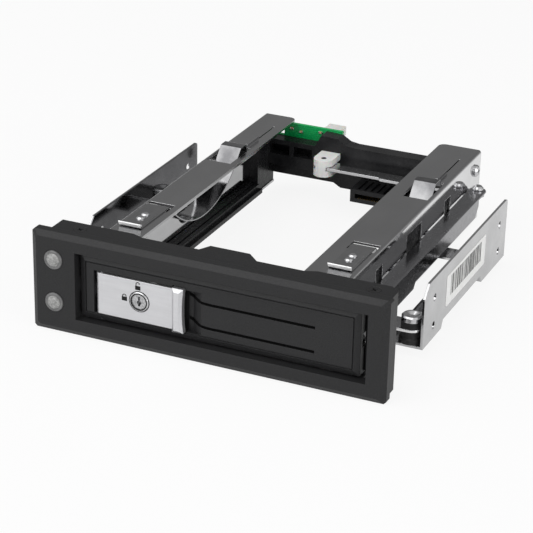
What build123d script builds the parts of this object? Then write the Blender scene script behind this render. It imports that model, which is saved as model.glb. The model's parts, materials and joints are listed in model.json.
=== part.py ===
from build123d import *
import math
import os

# Trayless hot swap cage for one 3.5 inch drive in a 5.25 inch bay.
# Lengths are millimetres.  X runs to the right, Y from the front to the back and Z up.
# The pieces are built with the bezel's front face at Y = 0 and its lower edge at Z = 0,
# and are moved at the end so that the origin lies under the middle of the whole cage.

# Bezel
indicator_margin = 9.8
indicator_inset = 9.3
right_rim = 8.0
top_rim = 6.7
bottom_rim = 7.1
bezel_thickness = 5.0
bezel_bevel_width = 2.2
bezel_bevel_depth = 1.5
bezel_corner_cut = 1.0
drive_opening_gap = 1.05
bezel_overlap = 1.0

# Collar behind the bezel
collar_wall = 2.0
collar_left_margin = 5.5
collar_right_margin = 1.3
collar_side_depth = 10.5
collar_middle_depth = 8.6
collar_middle_left = 36.0
collar_middle_right = 33.0
collar_slope = 5.0
collar_tab_reach = 5.0
collar_tab_width = 24.0
collar_tab_centre = 3.5
collar_end_cut = 3.4
collar_divider = 1.5
collar_fastener_depth = 4.9
left_fastener_outset = 2.9
right_fastener_outset = 15.1

# Indicators
indicator_spacing = 17.9
indicator_top = 11.2
indicator_ring_radius = 3.9
indicator_ring_wall = 1.1
indicator_ring_proud = 0.5
lens_dome = 0.8
light_pipe_length = 10.0
light_pipe_step = 0.8
indicator_board_thickness = 1.2
indicator_board_margin = 0.4

# Drive and sheet metal cage
drive_width = 101.6
drive_height = 26.1
drive_side_gap = 0.15
drive_top_gap = 0.25
drive_floor_gap = 0.15
sheet = 1.0
bend_radius = 1.4
cage_inset = 0.1
cage_length = 166.5
left_top_width = 15.8
right_top_width = 18.9
bottom_flange_width = 5.2
top_corner_radius = 3.0
rail_height = 4.0
rail_width = 4.8
rail_lip = 1.6
wall_window_front = 85.5
wall_window_size = 17.0
lance_window_ys = (51.5, 130.5)
lance_window_length = 7.2
lance_window_low = 20.0
lance_window_high = 28.5

# Leaf springs on the top plates
spring_width = 9.6
spring_thickness = 0.5
left_spring_edge = 2.6
right_spring_edge = 2.3
spring_front = 31.0
spring_lip_height = 2.2
spring_pad_length = 21.0
spring_rib_width = 1.8
spring_rib_length = 13.0
spring_bow_front = 58.5
spring_bow_length = 62.0
spring_bow_depth = 13.0
spring_bow_gap = 2.3
spring_hump = 2.3
spring_hump_front = 4.0
spring_hump_length = 6.2
window_front_room = 8.5
window_clearance = 0.9
front_window_length = 7.6
rivet_radius = 1.1
rivet_head_radius = 1.7
rivet_head_height = 0.9
rivet_pitch = 4.1
first_rivet_inset = 9.4
lance_length = 13.0
guide_slit_length = 16.5
guide_slit_width = 0.6

# Door
door_gap = 0.9
hinge_offset = 10.9
swing_clearance = 0.5
door_recess = 2.5
door_thickness = 7.0
door_skin = 2.6
door_rib = 1.2
door_bevel_width = 2.4
door_bevel_depth = 0.9
door_groove = 0.5
hinge_depth = 5.5
hinge_pin_radius = 1.25
running_gap = 0.05
door_swing = 90.0
crank_radius = 7.5
crank_plate = 1.6
crank_hub_radius = 2.3
crank_level = 21.0
crank_mouth = 5.6
crank_tail = 4.0
crank_seat_wall = 2.5
crank_pin_radius = 1.2
crank_gap = 0.4

# Latch handle and lock
handle_inset = 6.6
handle_length = 33.7
handle_height = 17.0
handle_drop = 1.4
handle_plate = 1.4
handle_recess = 0.5
handle_pivot_inset = 2.4
handle_knuckle_radius = 2.0
handle_pin_radius = 0.8
handle_gap = 0.5
spring_room = 3.2
latch_spring_radius = 1.02
latch_spring_wire = 0.16
latch_spring_pitch = 0.73
pull_bar_width = 4.8
pull_bar_height = 18.4
pull_bar_waist = 0.6
pull_bar_proud = 2.0
hook_height = 4.0
hook_thickness = 2.0
hook_overlap = 2.6
hook_gap = 0.3
lock_inset = 19.4
lock_radius = 4.1
lock_core_radius = 3.2
lock_length = 5.9
lock_cam_length = 8.2
lock_cam_thickness = 1.0
finger_scoop_length = 7.0
finger_scoop_depth = 2.8
flow_line_rise = 4.95
flow_line_drop = 0.4
flow_line_width = 1.2
flow_line_depth = 0.9
flow_line_end = 15.5

# Ejector link and lever
link_gap = 0.5
link_sheet = 1.0
link_width = 7.4
link_front_depth = 10.2
link_rear_depth = 7.8
link_web_front = 24.6
link_web_rear = 153.0
link_step = 74.0
slide_rivet_radius = 1.6
slide_rivet_places = (72.0, 112.0)
slide_rivet_gap = 0.1
slide_clearance = 0.3
slot_clearance = 0.35
lever_thickness = 1.2
lever_gap = 0.5
lever_end_radius = 3.0
lever_pivot_radius = 3.2
lever_pivot_offset = 34.8
lever_pin_radius = 1.2
lever_setback = 15.0
lever_pin_head_radius = 2.5

# Crossbar, board and connectors
crossbar_depth = 6.5
crossbar_cheek = 3.8
crossbar_cheek_length = 17.5
crossbar_skin = 2.0
crossbar_floor_gap = 0.4
crossbar_step = 5.6
crossbar_top_gap = 6.9
crossbar_hump = 3.4
crossbar_end_drop = 2.2
pivot_block_width = 9.0
pivot_block_height = 7.6
pivot_block_wall = 0.8
board_thickness = 1.6
board_height = 25.0
board_low_height = 17.0
board_inset = 1.5
socket_width = 41.0
socket_height = 6.0
socket_reach = 20.0
socket_offset = 19.5
port_depth = 7.8
port_height = 8.4
data_port_width = 14.4
data_port_inset = 11.8
power_port_width = 26.0
power_port_inset = 45.8
port_wall = 1.4
cable_header_width = 8.0
cable_header_height = 4.0
cable_header_level = 20.4
cable_header_depth = 6.6

# Side brackets on rubber posts
bracket_front = 42.0
bracket_bottom = 3.9
bracket_top = 30.0
bracket_foot_gap = 2.2
bracket_rounding = 1.5
bracket_foot_length = 21.0
bracket_raise = 3.3
bracket_corner = 5.0
bay_hole_radius = 1.6
bay_hole_spacing = 79.25
bay_hole_rise = 11.84
bay_hole_first = 11.5
bay_hole_last = 9.25
bay_hole_low = 9.6
post_outer = 6.3
front_post_y = 46.5
rear_post_y = 118.0
tab_level = 10.3
tab_half_width = 5.0
rubber_radius = 4.3
rubber_foot_radius = 4.9
rubber_neck_radius = 2.9
rubber_cap_height = 2.4
rubber_foot_height = 2.4
bolt_head_radius = 4.2
bolt_head_height = 2.4
bolt_dish_radius = 2.8
bolt_dish_depth = 0.9
bolt_radius = 1.5
fit_gap = 0.1
ear_gap = 0.3
shank_gap = 0.05

# Fasteners
screw_radius = 1.45
screw_hole_radius = 1.5
screw_clear_radius = 1.7
screw_head_radius = 2.7
screw_head_height = 1.7
pan_head_height = 1.6
side_screw_setback = 7.0
side_screw_level = 28.4
locating_peg_level = 12.4
locating_peg_radius = 2.4

# Places worked out from the sizes above
cage_width = drive_width + 2 * (drive_side_gap + sheet)
opening_width = cage_inset + cage_width + hinge_offset + hinge_depth + swing_clearance
opening_height = drive_height + 2 * drive_opening_gap
bezel_width = indicator_margin + indicator_inset + opening_width + right_rim
bezel_height = bottom_rim + opening_height + top_rim
bezel_left = -bezel_width / 2
bezel_right = bezel_width / 2
indicator_x = bezel_left + indicator_margin
opening_x0 = indicator_x + indicator_inset
opening_x1 = opening_x0 + opening_width
opening_z0 = bottom_rim
opening_z1 = bottom_rim + opening_height
middle_z = bottom_rim + opening_height / 2

drive_z0 = middle_z - drive_height / 2
drive_z1 = middle_z + drive_height / 2
cage_x0 = opening_x0 + cage_inset
cage_x1 = cage_x0 + cage_width
cage_top = drive_z1 + drive_top_gap + sheet
rail_top = drive_z0 - drive_floor_gap
cage_bottom = rail_top - rail_height - sheet
door_back = door_recess + door_thickness
cage_y0 = door_back + 1.0
cage_y1 = cage_y0 + cage_length
ear_y0 = bezel_thickness + 1.0

collar_x0 = bezel_left + collar_left_margin
collar_x1 = bezel_right - collar_right_margin
collar_z0 = cage_bottom - collar_wall
collar_z1 = bezel_height - 1.0
collar_y1 = bezel_thickness + collar_side_depth
fastener_y = bezel_thickness + collar_fastener_depth
fastener_xs = (cage_x0 - left_fastener_outset, cage_x1 + right_fastener_outset)

indicator_zs = (bezel_height - indicator_top, bezel_height - indicator_top - indicator_spacing)

hinge_x = cage_x1 + hinge_offset
hinge_y = door_recess + hinge_depth
door_x1 = hinge_x + door_bevel_width
door_x0 = opening_x0 + door_gap
door_z0 = opening_z0 + door_gap
door_z1 = opening_z1 - door_gap
crank_start = 180.0 - door_swing / 2
crank_x = hinge_x + crank_radius * math.cos(math.radians(crank_start))
crank_y = hinge_y + crank_radius * math.sin(math.radians(crank_start))
link_stroke = 2 * (crank_y - hinge_y)
crank_z0 = crank_level - crank_plate / 2
crank_z1 = crank_level + crank_plate / 2
ledge_z0 = crank_z1 + crank_gap
ledge_z1 = ledge_z0 + link_sheet

handle_x0 = door_x0 + handle_inset
bar_x0 = handle_x0 + handle_length
bar_x1 = bar_x0 + pull_bar_width
handle_z = middle_z - handle_drop
handle_z0 = handle_z - handle_height / 2
handle_z1 = handle_z + handle_height / 2
handle_y0 = door_recess - handle_recess
handle_pivot_x = handle_x0 + handle_pivot_inset
handle_pivot_y = handle_y0 + handle_knuckle_radius
pocket_y = handle_pivot_y + handle_knuckle_radius + 0.2
floor_back = pocket_y + 1.3
hook_x0 = opening_x0 - hook_overlap
hook_y0 = bezel_thickness + hook_gap
lock_x = handle_x0 + lock_inset
bar_y0 = door_recess - handle_recess - pull_bar_proud

link_x0 = cage_x1 + link_gap
link_x1 = link_x0 + link_width
lever_z1 = ledge_z0 - lever_gap
lever_z0 = lever_z1 - lever_thickness
lever_y = cage_y1 - lever_setback
lever_pin_x = (link_x0 + link_x1) / 2
lever_pivot_x = cage_x0 + sheet + lever_pivot_offset
lever_arm = lever_pin_x - lever_pivot_x
lever_swing = math.degrees(math.asin(link_stroke / lever_arm))
lever_shortening = lever_arm * (1 - math.cos(math.radians(lever_swing)))
slide_rivet_z = ledge_z0 - slide_rivet_gap - slide_rivet_radius
spring_bow_rear = spring_bow_front + spring_bow_length
side_screw_y = cage_y1 - side_screw_setback

crossbar_y0 = cage_y1 - crossbar_depth
board_y0 = cage_y1
board_y1 = board_y0 + board_thickness
inner_x0 = cage_x0 + sheet
inner_x1 = cage_x1 - sheet
inner_middle = (inner_x0 + inner_x1) / 2
socket_x = inner_middle + socket_offset
socket_z0 = drive_z0 + 0.6

bracket_outer = bezel_width / 2 - bezel_overlap
bracket_foot_width = cage_x0 + bracket_outer - bracket_foot_gap
bracket_length = bay_hole_first + bay_hole_spacing + bay_hole_last
bracket_floor = bracket_bottom + sheet
bay_hole_ys = (bracket_front + bay_hole_first, bracket_front + bay_hole_first + bay_hole_spacing)
bay_hole_zs = (bay_hole_low, bay_hole_low + bay_hole_rise)
post_x = bracket_outer - post_outer
post_ys = (front_post_y, rear_post_y)

front_most = min(bar_y0, -indicator_ring_proud - lens_dome)
rear_most = board_y1 + port_depth
centre_y = (front_most + rear_most) / 2


# Helpers for simple shapes

def block(x0, x1, y0, y1, z0, z1):
    centre = ((x0 + x1) / 2, (y0 + y1) / 2, (z0 + z1) / 2)
    return Pos(*centre) * Box(x1 - x0, y1 - y0, z1 - z0)


def post(x, y, z0, z1, radius):
    return Pos(x, y, (z0 + z1) / 2) * Cylinder(radius, z1 - z0)


def rod_x(x0, x1, y, z, radius):
    return Pos((x0 + x1) / 2, y, z) * Rot(0, 90, 0) * Cylinder(radius, x1 - x0)


def rod_y(y0, y1, x, z, radius):
    return Pos(x, (y0 + y1) / 2, z) * Rot(90, 0, 0) * Cylinder(radius, y1 - y0)


def slab(line, z0, z1):
    return extrude(Pos(0, 0, z0) * make_face(line), amount=z1 - z0, dir=(0, 0, 1))


def sheet_yz(line, x0, x1):
    return extrude(Plane.YZ.offset(x0) * make_face(line), amount=x1 - x0, dir=(1, 0, 0))


def sheet_xz(line, y0, y1):
    return extrude(Plane.XZ.offset(-y0) * make_face(line), amount=y1 - y0, dir=(0, 1, 0))


def strap(x0, y0, r0, x1, y1, r1, z0, z1):
    ends = Pos(x0, y0) * Circle(r0) + Pos(x1, y1) * Circle(r1)
    return extrude(Pos(0, 0, z0) * make_hull(ends.edges()), amount=z1 - z0, dir=(0, 0, 1))


def slot_x(x0, x1, y, z0, z1, radius):
    ends = post(x0, y, z0, z1, radius) + post(x1, y, z0, z1, radius)
    return ends + block(x0, x1, y - radius, y + radius, z0, z1)


def inward(side, u0, u1):
    # From the outer face of one cage wall towards the drive
    if side < 0:
        return cage_x0 + u0, cage_x0 + u1
    return cage_x1 - u1, cage_x1 - u0


def bracket_span(side, u0, u1):
    # From the outer face of one side bracket towards the cage
    if side < 0:
        return -bracket_outer + u0, -bracket_outer + u1
    return bracket_outer - u1, bracket_outer - u0


def each_post():
    return [(side * post_x, y) for side in (-1, 1) for y in post_ys]


# Bezel and indicators

def bezel_plate():
    plate = block(bezel_left, bezel_right, bezel_bevel_depth, bezel_thickness, 0, bezel_height)
    plate = chamfer(plate.edges().filter_by(Axis.Y), bezel_corner_cut)
    inset = 2 * bezel_bevel_width
    wide = Plane.XZ.offset(-bezel_bevel_depth) * Pos(0, bezel_height / 2) * cut_corners(0)
    narrow = Plane.XZ * Pos(0, bezel_height / 2) * cut_corners(inset)
    return plate + loft([wide.face(), narrow.face()], ruled=True)


def cut_corners(inset):
    outline = Rectangle(bezel_width - inset, bezel_height - inset)
    return chamfer(outline.vertices(), bezel_corner_cut)


def collar_top():
    side_y = collar_y1
    middle_y = bezel_thickness + collar_middle_depth
    left = collar_x0 + collar_middle_left
    right = collar_x1 - collar_middle_right
    tab_y = middle_y + collar_tab_reach
    tab_x0 = collar_tab_centre - collar_tab_width / 2
    tab_x1 = collar_tab_centre + collar_tab_width / 2
    tab_top_x0 = tab_x0 + collar_tab_reach / 2
    tab_top_x1 = tab_x1 - collar_tab_reach
    line = Polyline(
        (collar_x0, bezel_thickness), (collar_x0, side_y), (left - collar_slope, side_y),
        (left, middle_y), (tab_x0, middle_y), (tab_top_x0, tab_y), (tab_top_x1, tab_y),
        (tab_x1, middle_y), (right - collar_slope, middle_y), (right, side_y),
        (collar_x1 - collar_end_cut, side_y), (collar_x1, side_y - collar_end_cut),
        (collar_x1, bezel_thickness), close=True)
    return slab(line, collar_z1 - collar_wall, collar_z1)


def collar_bottom():
    line = Polyline(
        (collar_x0, bezel_thickness), (collar_x0, collar_y1), (collar_x1 - collar_end_cut, collar_y1),
        (collar_x1, collar_y1 - collar_end_cut), (collar_x1, bezel_thickness), close=True)
    return slab(line, collar_z0, collar_z0 + collar_wall)


def bezel():
    roof = collar_z1 - collar_wall
    floor = collar_z0 + collar_wall
    ear_top = cage_top + sheet
    body = bezel_plate() + collar_top() + collar_bottom()
    body += block(collar_x0, collar_x0 + collar_wall, bezel_thickness, collar_y1, floor, roof)
    right_y = collar_y1 - collar_end_cut
    body += block(collar_x1 - collar_wall, collar_x1, bezel_thickness, right_y, floor, roof)
    divider_x = indicator_x + indicator_board_half() + collar_divider
    low = cage_bottom + sheet + ear_gap
    body += block(divider_x - collar_divider, divider_x, bezel_thickness, collar_y1, low, cage_top - ear_gap)
    for x in fastener_xs:
        body += post(x, fastener_y, ear_top, roof, screw_clear_radius + collar_wall)
    half = hinge_pin_radius + collar_wall
    ears = (hinge_x - half, hinge_x + half, bezel_thickness, hinge_y + half)
    body += block(*ears, ear_top, roof)
    body += block(*ears, floor + sheet, opening_z0)
    body -= block(opening_x0, opening_x1, -1, bezel_thickness, opening_z0, opening_z1)
    for z in indicator_zs:
        body -= rod_y(-1, bezel_thickness, indicator_x, z, indicator_ring_radius + running_gap)
    pin_hole = hinge_pin_radius + running_gap
    body -= post(hinge_x, hinge_y, floor, roof + collar_wall / 2, pin_hole)
    for x in fastener_xs:
        body -= post(x, fastener_y, collar_z0, collar_z1, screw_clear_radius)
        head = screw_head_radius + fit_gap
        depth = screw_head_height
        body -= Pos(x, fastener_y, collar_z1 - depth / 2) * Cone(screw_clear_radius, head, depth)
        body -= Pos(x, fastener_y, collar_z0 + depth / 2) * Cone(head, screw_clear_radius, depth)
    return body


def countersunk_screw(length):
    head = Pos(0, 0, -screw_head_height / 2) * Cone(screw_radius, screw_head_radius, screw_head_height)
    shank = post(0, 0, -length, 0, screw_radius)
    drive = Rot(0, 0, 45) * block(-1.3, 1.3, -0.25, 0.25, -1.0, 0.1)
    return head + shank - drive - Rot(0, 0, 90) * drive


def bezel_screws():
    top_length = collar_z1 - cage_top
    bottom_length = cage_bottom + sheet - collar_z0
    screws = []
    for x in fastener_xs:
        screws.append(Pos(x, fastener_y, collar_z1) * countersunk_screw(top_length))
        screws.append(Pos(x, fastener_y, collar_z0) * Rot(180, 0, 0) * countersunk_screw(bottom_length))
    return screws


def indicator_rings():
    rings = []
    for z in indicator_zs:
        ring = rod_y(-indicator_ring_proud, bezel_thickness, indicator_x, z, indicator_ring_radius)
        bore = indicator_ring_radius - indicator_ring_wall
        ring = chamfer(ring.edges().sort_by(Axis.Y)[0], indicator_ring_proud / 2)
        rings.append(ring - rod_y(-1, bezel_thickness, indicator_x, z, bore))
    return rings


def light_pipe(z):
    radius = indicator_ring_radius - indicator_ring_wall - running_gap
    front = -indicator_ring_proud
    sphere_radius = (radius ** 2 + lens_dome ** 2) / (2 * lens_dome)
    half_angle = math.asin(radius / sphere_radius) / 2
    centre = front - lens_dome + sphere_radius
    middle = (sphere_radius * math.sin(half_angle), centre - sphere_radius * math.cos(half_angle))
    stem = radius - light_pipe_step
    line = Polyline(
        (0, front - lens_dome), (0, light_pipe_length), (stem, light_pipe_length),
        (stem, bezel_thickness), (radius, bezel_thickness), (radius, front))
    line += ThreePointArc((radius, front), middle, (0, front - lens_dome))
    return Pos(indicator_x, 0, z) * revolve(make_face(line), axis=Axis.Y)


def indicator_board():
    low = indicator_zs[1] - indicator_ring_radius
    high = indicator_zs[0] + indicator_ring_radius
    back = light_pipe_length + indicator_board_thickness
    x0 = collar_x0 + collar_wall + fit_gap
    return block(x0, indicator_x + indicator_board_half(), light_pipe_length, back, low, high)


def indicator_board_half():
    return indicator_ring_radius - indicator_board_margin


# Door, hinge pin and crank

def door_panel():
    body = block(door_x0, door_x1, door_recess, door_back, door_z0, door_z1)
    body += post(hinge_x, hinge_y, door_z0, door_z1, door_bevel_width)
    body -= door_frame_bevels()
    body -= door_frame_groove()
    rim = 2.0
    inner = door_recess + door_skin
    shallow = (bar_x1 + finger_scoop_length, hinge_x - hinge_depth - rim)
    body -= block(*shallow, inner, door_back, door_z0 + rim, door_z1 - rim)
    deep = (door_x0 + rim, shallow[0] - door_rib)
    body -= block(*deep, floor_back, door_back, door_z0 + rim, door_z1 - rim)
    body += door_ribs(shallow, rim)
    body -= handle_pocket()
    body -= finger_scoop()
    for side in (-1, 1):
        body -= flow_line(side)
    seat_x1 = crank_x - crank_mouth
    seat_x0 = seat_x1 - crank_tail
    seat_z = (crank_z0 - crank_seat_wall, crank_z1 + crank_seat_wall)
    body += block(seat_x0 - door_rib, seat_x1, inner, door_back, *seat_z)
    body -= post(hinge_x, hinge_y, door_z0, door_z1, hinge_pin_radius + running_gap)
    mouth = (seat_x1, door_x1, inner, hinge_y + door_bevel_width)
    body -= block(*mouth, crank_z0 - 1.0, ledge_z1 + 1.5)
    tail_z = (crank_z0 - running_gap, crank_z1 + running_gap)
    return body - block(seat_x0, seat_x1, hinge_y - crank_plate - running_gap, door_back, *tail_z)


def door_frame_bevels():
    wedge = Polyline((0, 0), (door_bevel_width, 0), (0, door_bevel_depth), close=True)
    top = Plane((0, door_recess, door_z1), x_dir=(0, 0, -1), z_dir=(1, 0, 0))
    low = Plane((0, door_recess, door_z0), x_dir=(0, 0, 1), z_dir=(-1, 0, 0))
    left = Plane((door_x0, door_recess, 0), x_dir=(1, 0, 0), z_dir=(0, 0, 1))
    right = Plane((door_x1, door_recess, 0), x_dir=(-1, 0, 0), z_dir=(0, 0, -1))
    reach = bezel_width
    cut = extrude(top * make_face(wedge), amount=reach, both=True)
    for edge in (low, left, right):
        cut += extrude(edge * make_face(wedge), amount=reach, both=True)
    return cut


def door_frame_groove():
    x0 = door_x0 + door_bevel_width
    z0 = door_z0 + door_bevel_width
    z1 = door_z1 - door_bevel_width
    outer = block(x0, hinge_x, door_recess, door_recess + door_groove, z0, z1)
    inner = block(x0 + door_groove, hinge_x - door_groove, door_recess, door_recess + door_groove,
                  z0 + door_groove, z1 - door_groove)
    return outer - inner


def door_ribs(span, rim):
    count = 3
    step = (span[1] - span[0]) / (count + 1)
    z_span = (door_z0 + rim, door_z1 - rim)
    first = span[0] + step - door_rib / 2
    ribs = block(first, first + door_rib, door_recess + door_skin, door_back, *z_span)
    for index in range(1, count):
        x = first + index * step
        ribs += block(x, x + door_rib, door_recess + door_skin, door_back, *z_span)
    return ribs


def handle_pocket():
    gap = handle_gap
    pocket = block(handle_x0 - gap, bar_x1 + gap, 0, pocket_y, handle_z0 - gap, handle_z1 + gap)
    bar_z0 = handle_z - pull_bar_height / 2 - gap
    bar_z1 = handle_z + pull_bar_height / 2 + gap
    pocket += block(bar_x0 - gap, bar_x1 + gap, 0, pocket_y, bar_z0, bar_z1)
    hook_z0 = handle_z - hook_height / 2 - 0.6
    hook_z1 = handle_z + hook_height / 2 + 0.6
    pocket += block(door_x0, handle_pivot_x + 3.4, hook_y0 - 0.6, door_back, hook_z0, hook_z1)
    pocket += block(handle_pivot_x - 2.6, handle_pivot_x + 3.4, pocket_y, door_back, hook_z0, hook_z1)
    reach = lock_radius + 1.2
    cam_top = handle_z + lock_cam_length + 0.5
    pocket += block(lock_x - reach, lock_x + reach, pocket_y, door_back, handle_z - reach, cam_top)
    pin_hole = handle_pin_radius + running_gap
    return pocket + post(handle_pivot_x, handle_pivot_y, handle_z0 - 3.0, handle_z1 + 3.0, pin_hole)


def finger_scoop():
    x0 = bar_x1 + handle_gap
    x1 = bar_x1 + finger_scoop_length
    deep = door_recess + finger_scoop_depth
    line = Polyline((x0, 0), (x0, deep), (x0 + 2.0, deep), (x1, door_recess), (x1, 0), close=True)
    half = pull_bar_height / 2 - 0.4
    return slab(line, handle_z - half, handle_z + half)


def flow_line(side):
    # Moulded line that curves out of the finger scoop and runs along the door
    level = handle_z - flow_line_drop + side * flow_line_rise
    start_x = bar_x1 + handle_gap
    bend_x = start_x + 2 * finger_scoop_length - 1.0
    bend_z = level + 0.05
    middle = ((start_x + bend_x) / 2 - 1.5, level + 0.55)
    path = Spline((start_x, level + 1.9), middle, (bend_x, bend_z))
    path += Line((bend_x, bend_z), (hinge_x - flow_line_end, level))
    groove = trace(path, line_width=flow_line_width)
    return extrude(Plane.XZ.offset(-door_recess) * groove, amount=flow_line_depth, dir=(0, 1, 0))


def hinge_pin():
    return post(hinge_x, hinge_y, collar_z0 + collar_wall + 0.2, collar_z1 - collar_wall, hinge_pin_radius)


def door_crank():
    plate = strap(hinge_x, hinge_y, crank_hub_radius, crank_x, crank_y, 2.4, crank_z0, crank_z1)
    tail_x0 = crank_x - crank_mouth - crank_tail + fit_gap
    plate += block(tail_x0, hinge_x, hinge_y - crank_plate, door_back - fit_gap, crank_z0, crank_z1)
    plate -= post(hinge_x, hinge_y, crank_z0, crank_z1, hinge_pin_radius + running_gap)
    return plate - post(crank_x, crank_y, crank_z0, crank_z1, crank_pin_radius)


def crank_pin():
    pin = post(crank_x, crank_y, crank_z0, ledge_z1 + 0.3, crank_pin_radius - 0.01)
    pin += post(crank_x, crank_y, crank_z0 - 0.8, crank_z0, 2.0)
    return pin + post(crank_x, crank_y, ledge_z1 + 0.3, ledge_z1 + 1.1, 2.1)


# Latch handle and lock

def latch_handle():
    pivot = (handle_pivot_x, handle_pivot_y)
    plate = block(handle_pivot_x, bar_x0 + 1.0, handle_y0, handle_y0 + handle_plate, handle_z0, handle_z1)
    plate += post(*pivot, handle_z0, handle_z1, handle_knuckle_radius)
    bar_z0 = handle_z - pull_bar_height / 2
    bar_z1 = handle_z + pull_bar_height / 2
    waist = bar_x1 - pull_bar_waist
    outline = Polyline((bar_x1, bar_z1), (bar_x0, bar_z1), (bar_x0, bar_z0), (bar_x1, bar_z0))
    outline += ThreePointArc((bar_x1, bar_z0), (waist, handle_z), (bar_x1, bar_z1))
    bar = sheet_xz(outline, bar_y0, handle_y0 + handle_plate)
    plate += chamfer(bar.faces().sort_by(Axis.Y)[0].edges(), pull_bar_width / 4)
    hook_z0 = handle_z - hook_height / 2
    hook_z1 = handle_z + hook_height / 2
    hook_y1 = hook_y0 + hook_thickness
    arm = Polyline((handle_pivot_x + 0.8, handle_pivot_y), (handle_pivot_x - 0.9, handle_pivot_y + 0.9),
                   (handle_pivot_x - 2.0, hook_y0), (hook_x0, hook_y0), (hook_x0 + 0.9, hook_y1),
                   (handle_pivot_x + 1.2, hook_y1), close=True)
    plate += slab(arm, hook_z0, hook_z1)
    spring_z0 = handle_z + hook_height / 2
    recess = post(*pivot, spring_z0, spring_z0 + spring_room, 2.4)
    recess &= block(pivot[0] - 3, pivot[0] + 3, handle_y0 + 0.6, pivot[1] + 3, 0, bezel_height)
    plate -= recess
    plate -= post(*pivot, handle_z0, handle_z1, handle_pin_radius + running_gap)
    return plate - rod_y(0, door_back, lock_x, handle_z, lock_radius)


def handle_pivot_pin():
    return post(handle_pivot_x, handle_pivot_y, handle_z0 - 2.9, handle_z1 + 2.9, handle_pin_radius)


def latch_spring():
    z0 = handle_z + hook_height / 2 + 0.4
    coil = Helix(pitch=latch_spring_pitch, height=spring_room - 1.0, radius=latch_spring_radius)
    start = Plane(origin=coil @ 0, z_dir=coil % 0) * Rectangle(2 * latch_spring_wire, 2 * latch_spring_wire)
    spring = sweep(start, path=coil, is_frenet=True)
    end_z = spring_room - 1.0
    wire = latch_spring_wire
    leg = block(latch_spring_radius - wire, latch_spring_radius + wire, 0, latch_spring_radius + 0.6,
                end_z - wire, end_z + wire)
    return Pos(handle_pivot_x, handle_pivot_y, z0) * (spring + leg)


def lock_barrel():
    front = handle_y0 - 0.5
    back = handle_y0 + lock_length
    barrel = rod_y(front, back, lock_x, handle_z, lock_radius - 0.02)
    barrel = chamfer(barrel.edges().sort_by(Axis.Y)[0], 0.3)
    return barrel - rod_y(front, back, lock_x, handle_z, lock_core_radius + running_gap)


def lock_core():
    front = handle_y0 - 0.2
    back = handle_y0 + lock_length
    core = rod_y(front, back, lock_x, handle_z, lock_core_radius)
    keyway = block(lock_x - 0.45, lock_x + 0.45, front, front + 3.0, handle_z - 1.9, handle_z + 2.1)
    core -= keyway
    return core - rod_y(front, front + 3.0, lock_x, handle_z - 0.4, 0.95)


def lock_cam():
    y0 = handle_y0 + lock_length
    y1 = y0 + lock_cam_thickness
    ends = Pos(lock_x, handle_z) * Circle(2.6)
    ends += Pos(lock_x, handle_z + lock_cam_length - 1.6) * Circle(1.6)
    face = make_hull(ends.edges())
    return extrude(Plane.XZ.offset(-y0) * face, amount=y1 - y0, dir=(0, 1, 0))


# Sheet metal cage

def cage_side(side):
    top_width = left_top_width if side < 0 else right_top_width
    x_wall = inward(side, 0, sheet)
    x_top = inward(side, 0, top_width)
    x_low = inward(side, 0, bottom_flange_width)
    wall = block(*x_wall, cage_y0, cage_y1, cage_bottom, cage_top)
    top = block(*x_top, cage_y0, cage_y1, cage_top - sheet, cage_top)
    inner_x = x_top[1] if side < 0 else x_top[0]
    corner = top.edges().filter_by(Axis.Z).group_by(Axis.Y)[-1].sort_by(Axis.X)
    top = fillet(corner[-1] if side < 0 else corner[0], top_corner_radius)
    low = block(*x_low, cage_y0, cage_y1, cage_bottom, cage_bottom + sheet)
    body = wall + top + low
    outer_x = x_wall[0] if side < 0 else x_wall[1]
    bends = [edge for edge in body.edges().filter_by(Axis.Y) if abs(edge.center().X - outer_x) < 0.01]
    body = fillet(bends, bend_radius)
    body += cage_ears(side)
    body += grommet_tabs(side)
    lip_x = (inner_x - sheet, inner_x) if side < 0 else (inner_x, inner_x + sheet)
    body += block(*lip_x, cage_y0 + 6.0, cage_y1 - 22.0, cage_top - sheet - 0.5, cage_top - sheet)
    for cut in cage_cuts(side):
        body -= cut
    return body + lance_tab(side)


def cage_ears(side):
    reach = fastener_xs[0] - 3.6 if side < 0 else fastener_xs[1] + 3.6
    edge = cage_x0 + sheet + 2.0 if side < 0 else cage_x1 - sheet - 2.0
    x_span = (min(reach, edge), max(reach, edge))
    ears = block(*x_span, ear_y0, collar_y1 - 1.0, cage_top, cage_top + sheet)
    foot = block(*x_span, ear_y0, collar_y1 - 1.0, cage_bottom, cage_bottom + sheet)
    x = fastener_xs[0] if side < 0 else fastener_xs[1]
    ears -= post(x, fastener_y, cage_top, cage_top + sheet, screw_hole_radius)
    foot -= post(x, fastener_y, cage_bottom, cage_bottom + sheet, screw_hole_radius)
    if side > 0:
        ears -= post(hinge_x, hinge_y, cage_top, cage_top + sheet, hinge_pin_radius + 0.4)
        foot -= post(hinge_x, hinge_y, cage_bottom, cage_bottom + sheet, hinge_pin_radius + 0.4)
    return ears + foot


def grommet_tabs(side):
    wall_x = cage_x0 + sheet if side < 0 else cage_x1 - sheet
    tabs = None
    for y in post_ys:
        x = side * post_x
        span = (min(wall_x, x), max(wall_x, x))
        tab = block(*span, y - tab_half_width, y + tab_half_width, tab_level, tab_level + sheet)
        tab += post(x, y, tab_level, tab_level + sheet, tab_half_width)
        tab -= post(x, y, tab_level, tab_level + sheet, rubber_neck_radius + fit_gap)
        tabs = tab if tabs is None else tabs + tab
    return tabs


def spring_span(side):
    edge = left_spring_edge if side < 0 else right_spring_edge
    return inward(side, edge, edge + spring_width)


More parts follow.
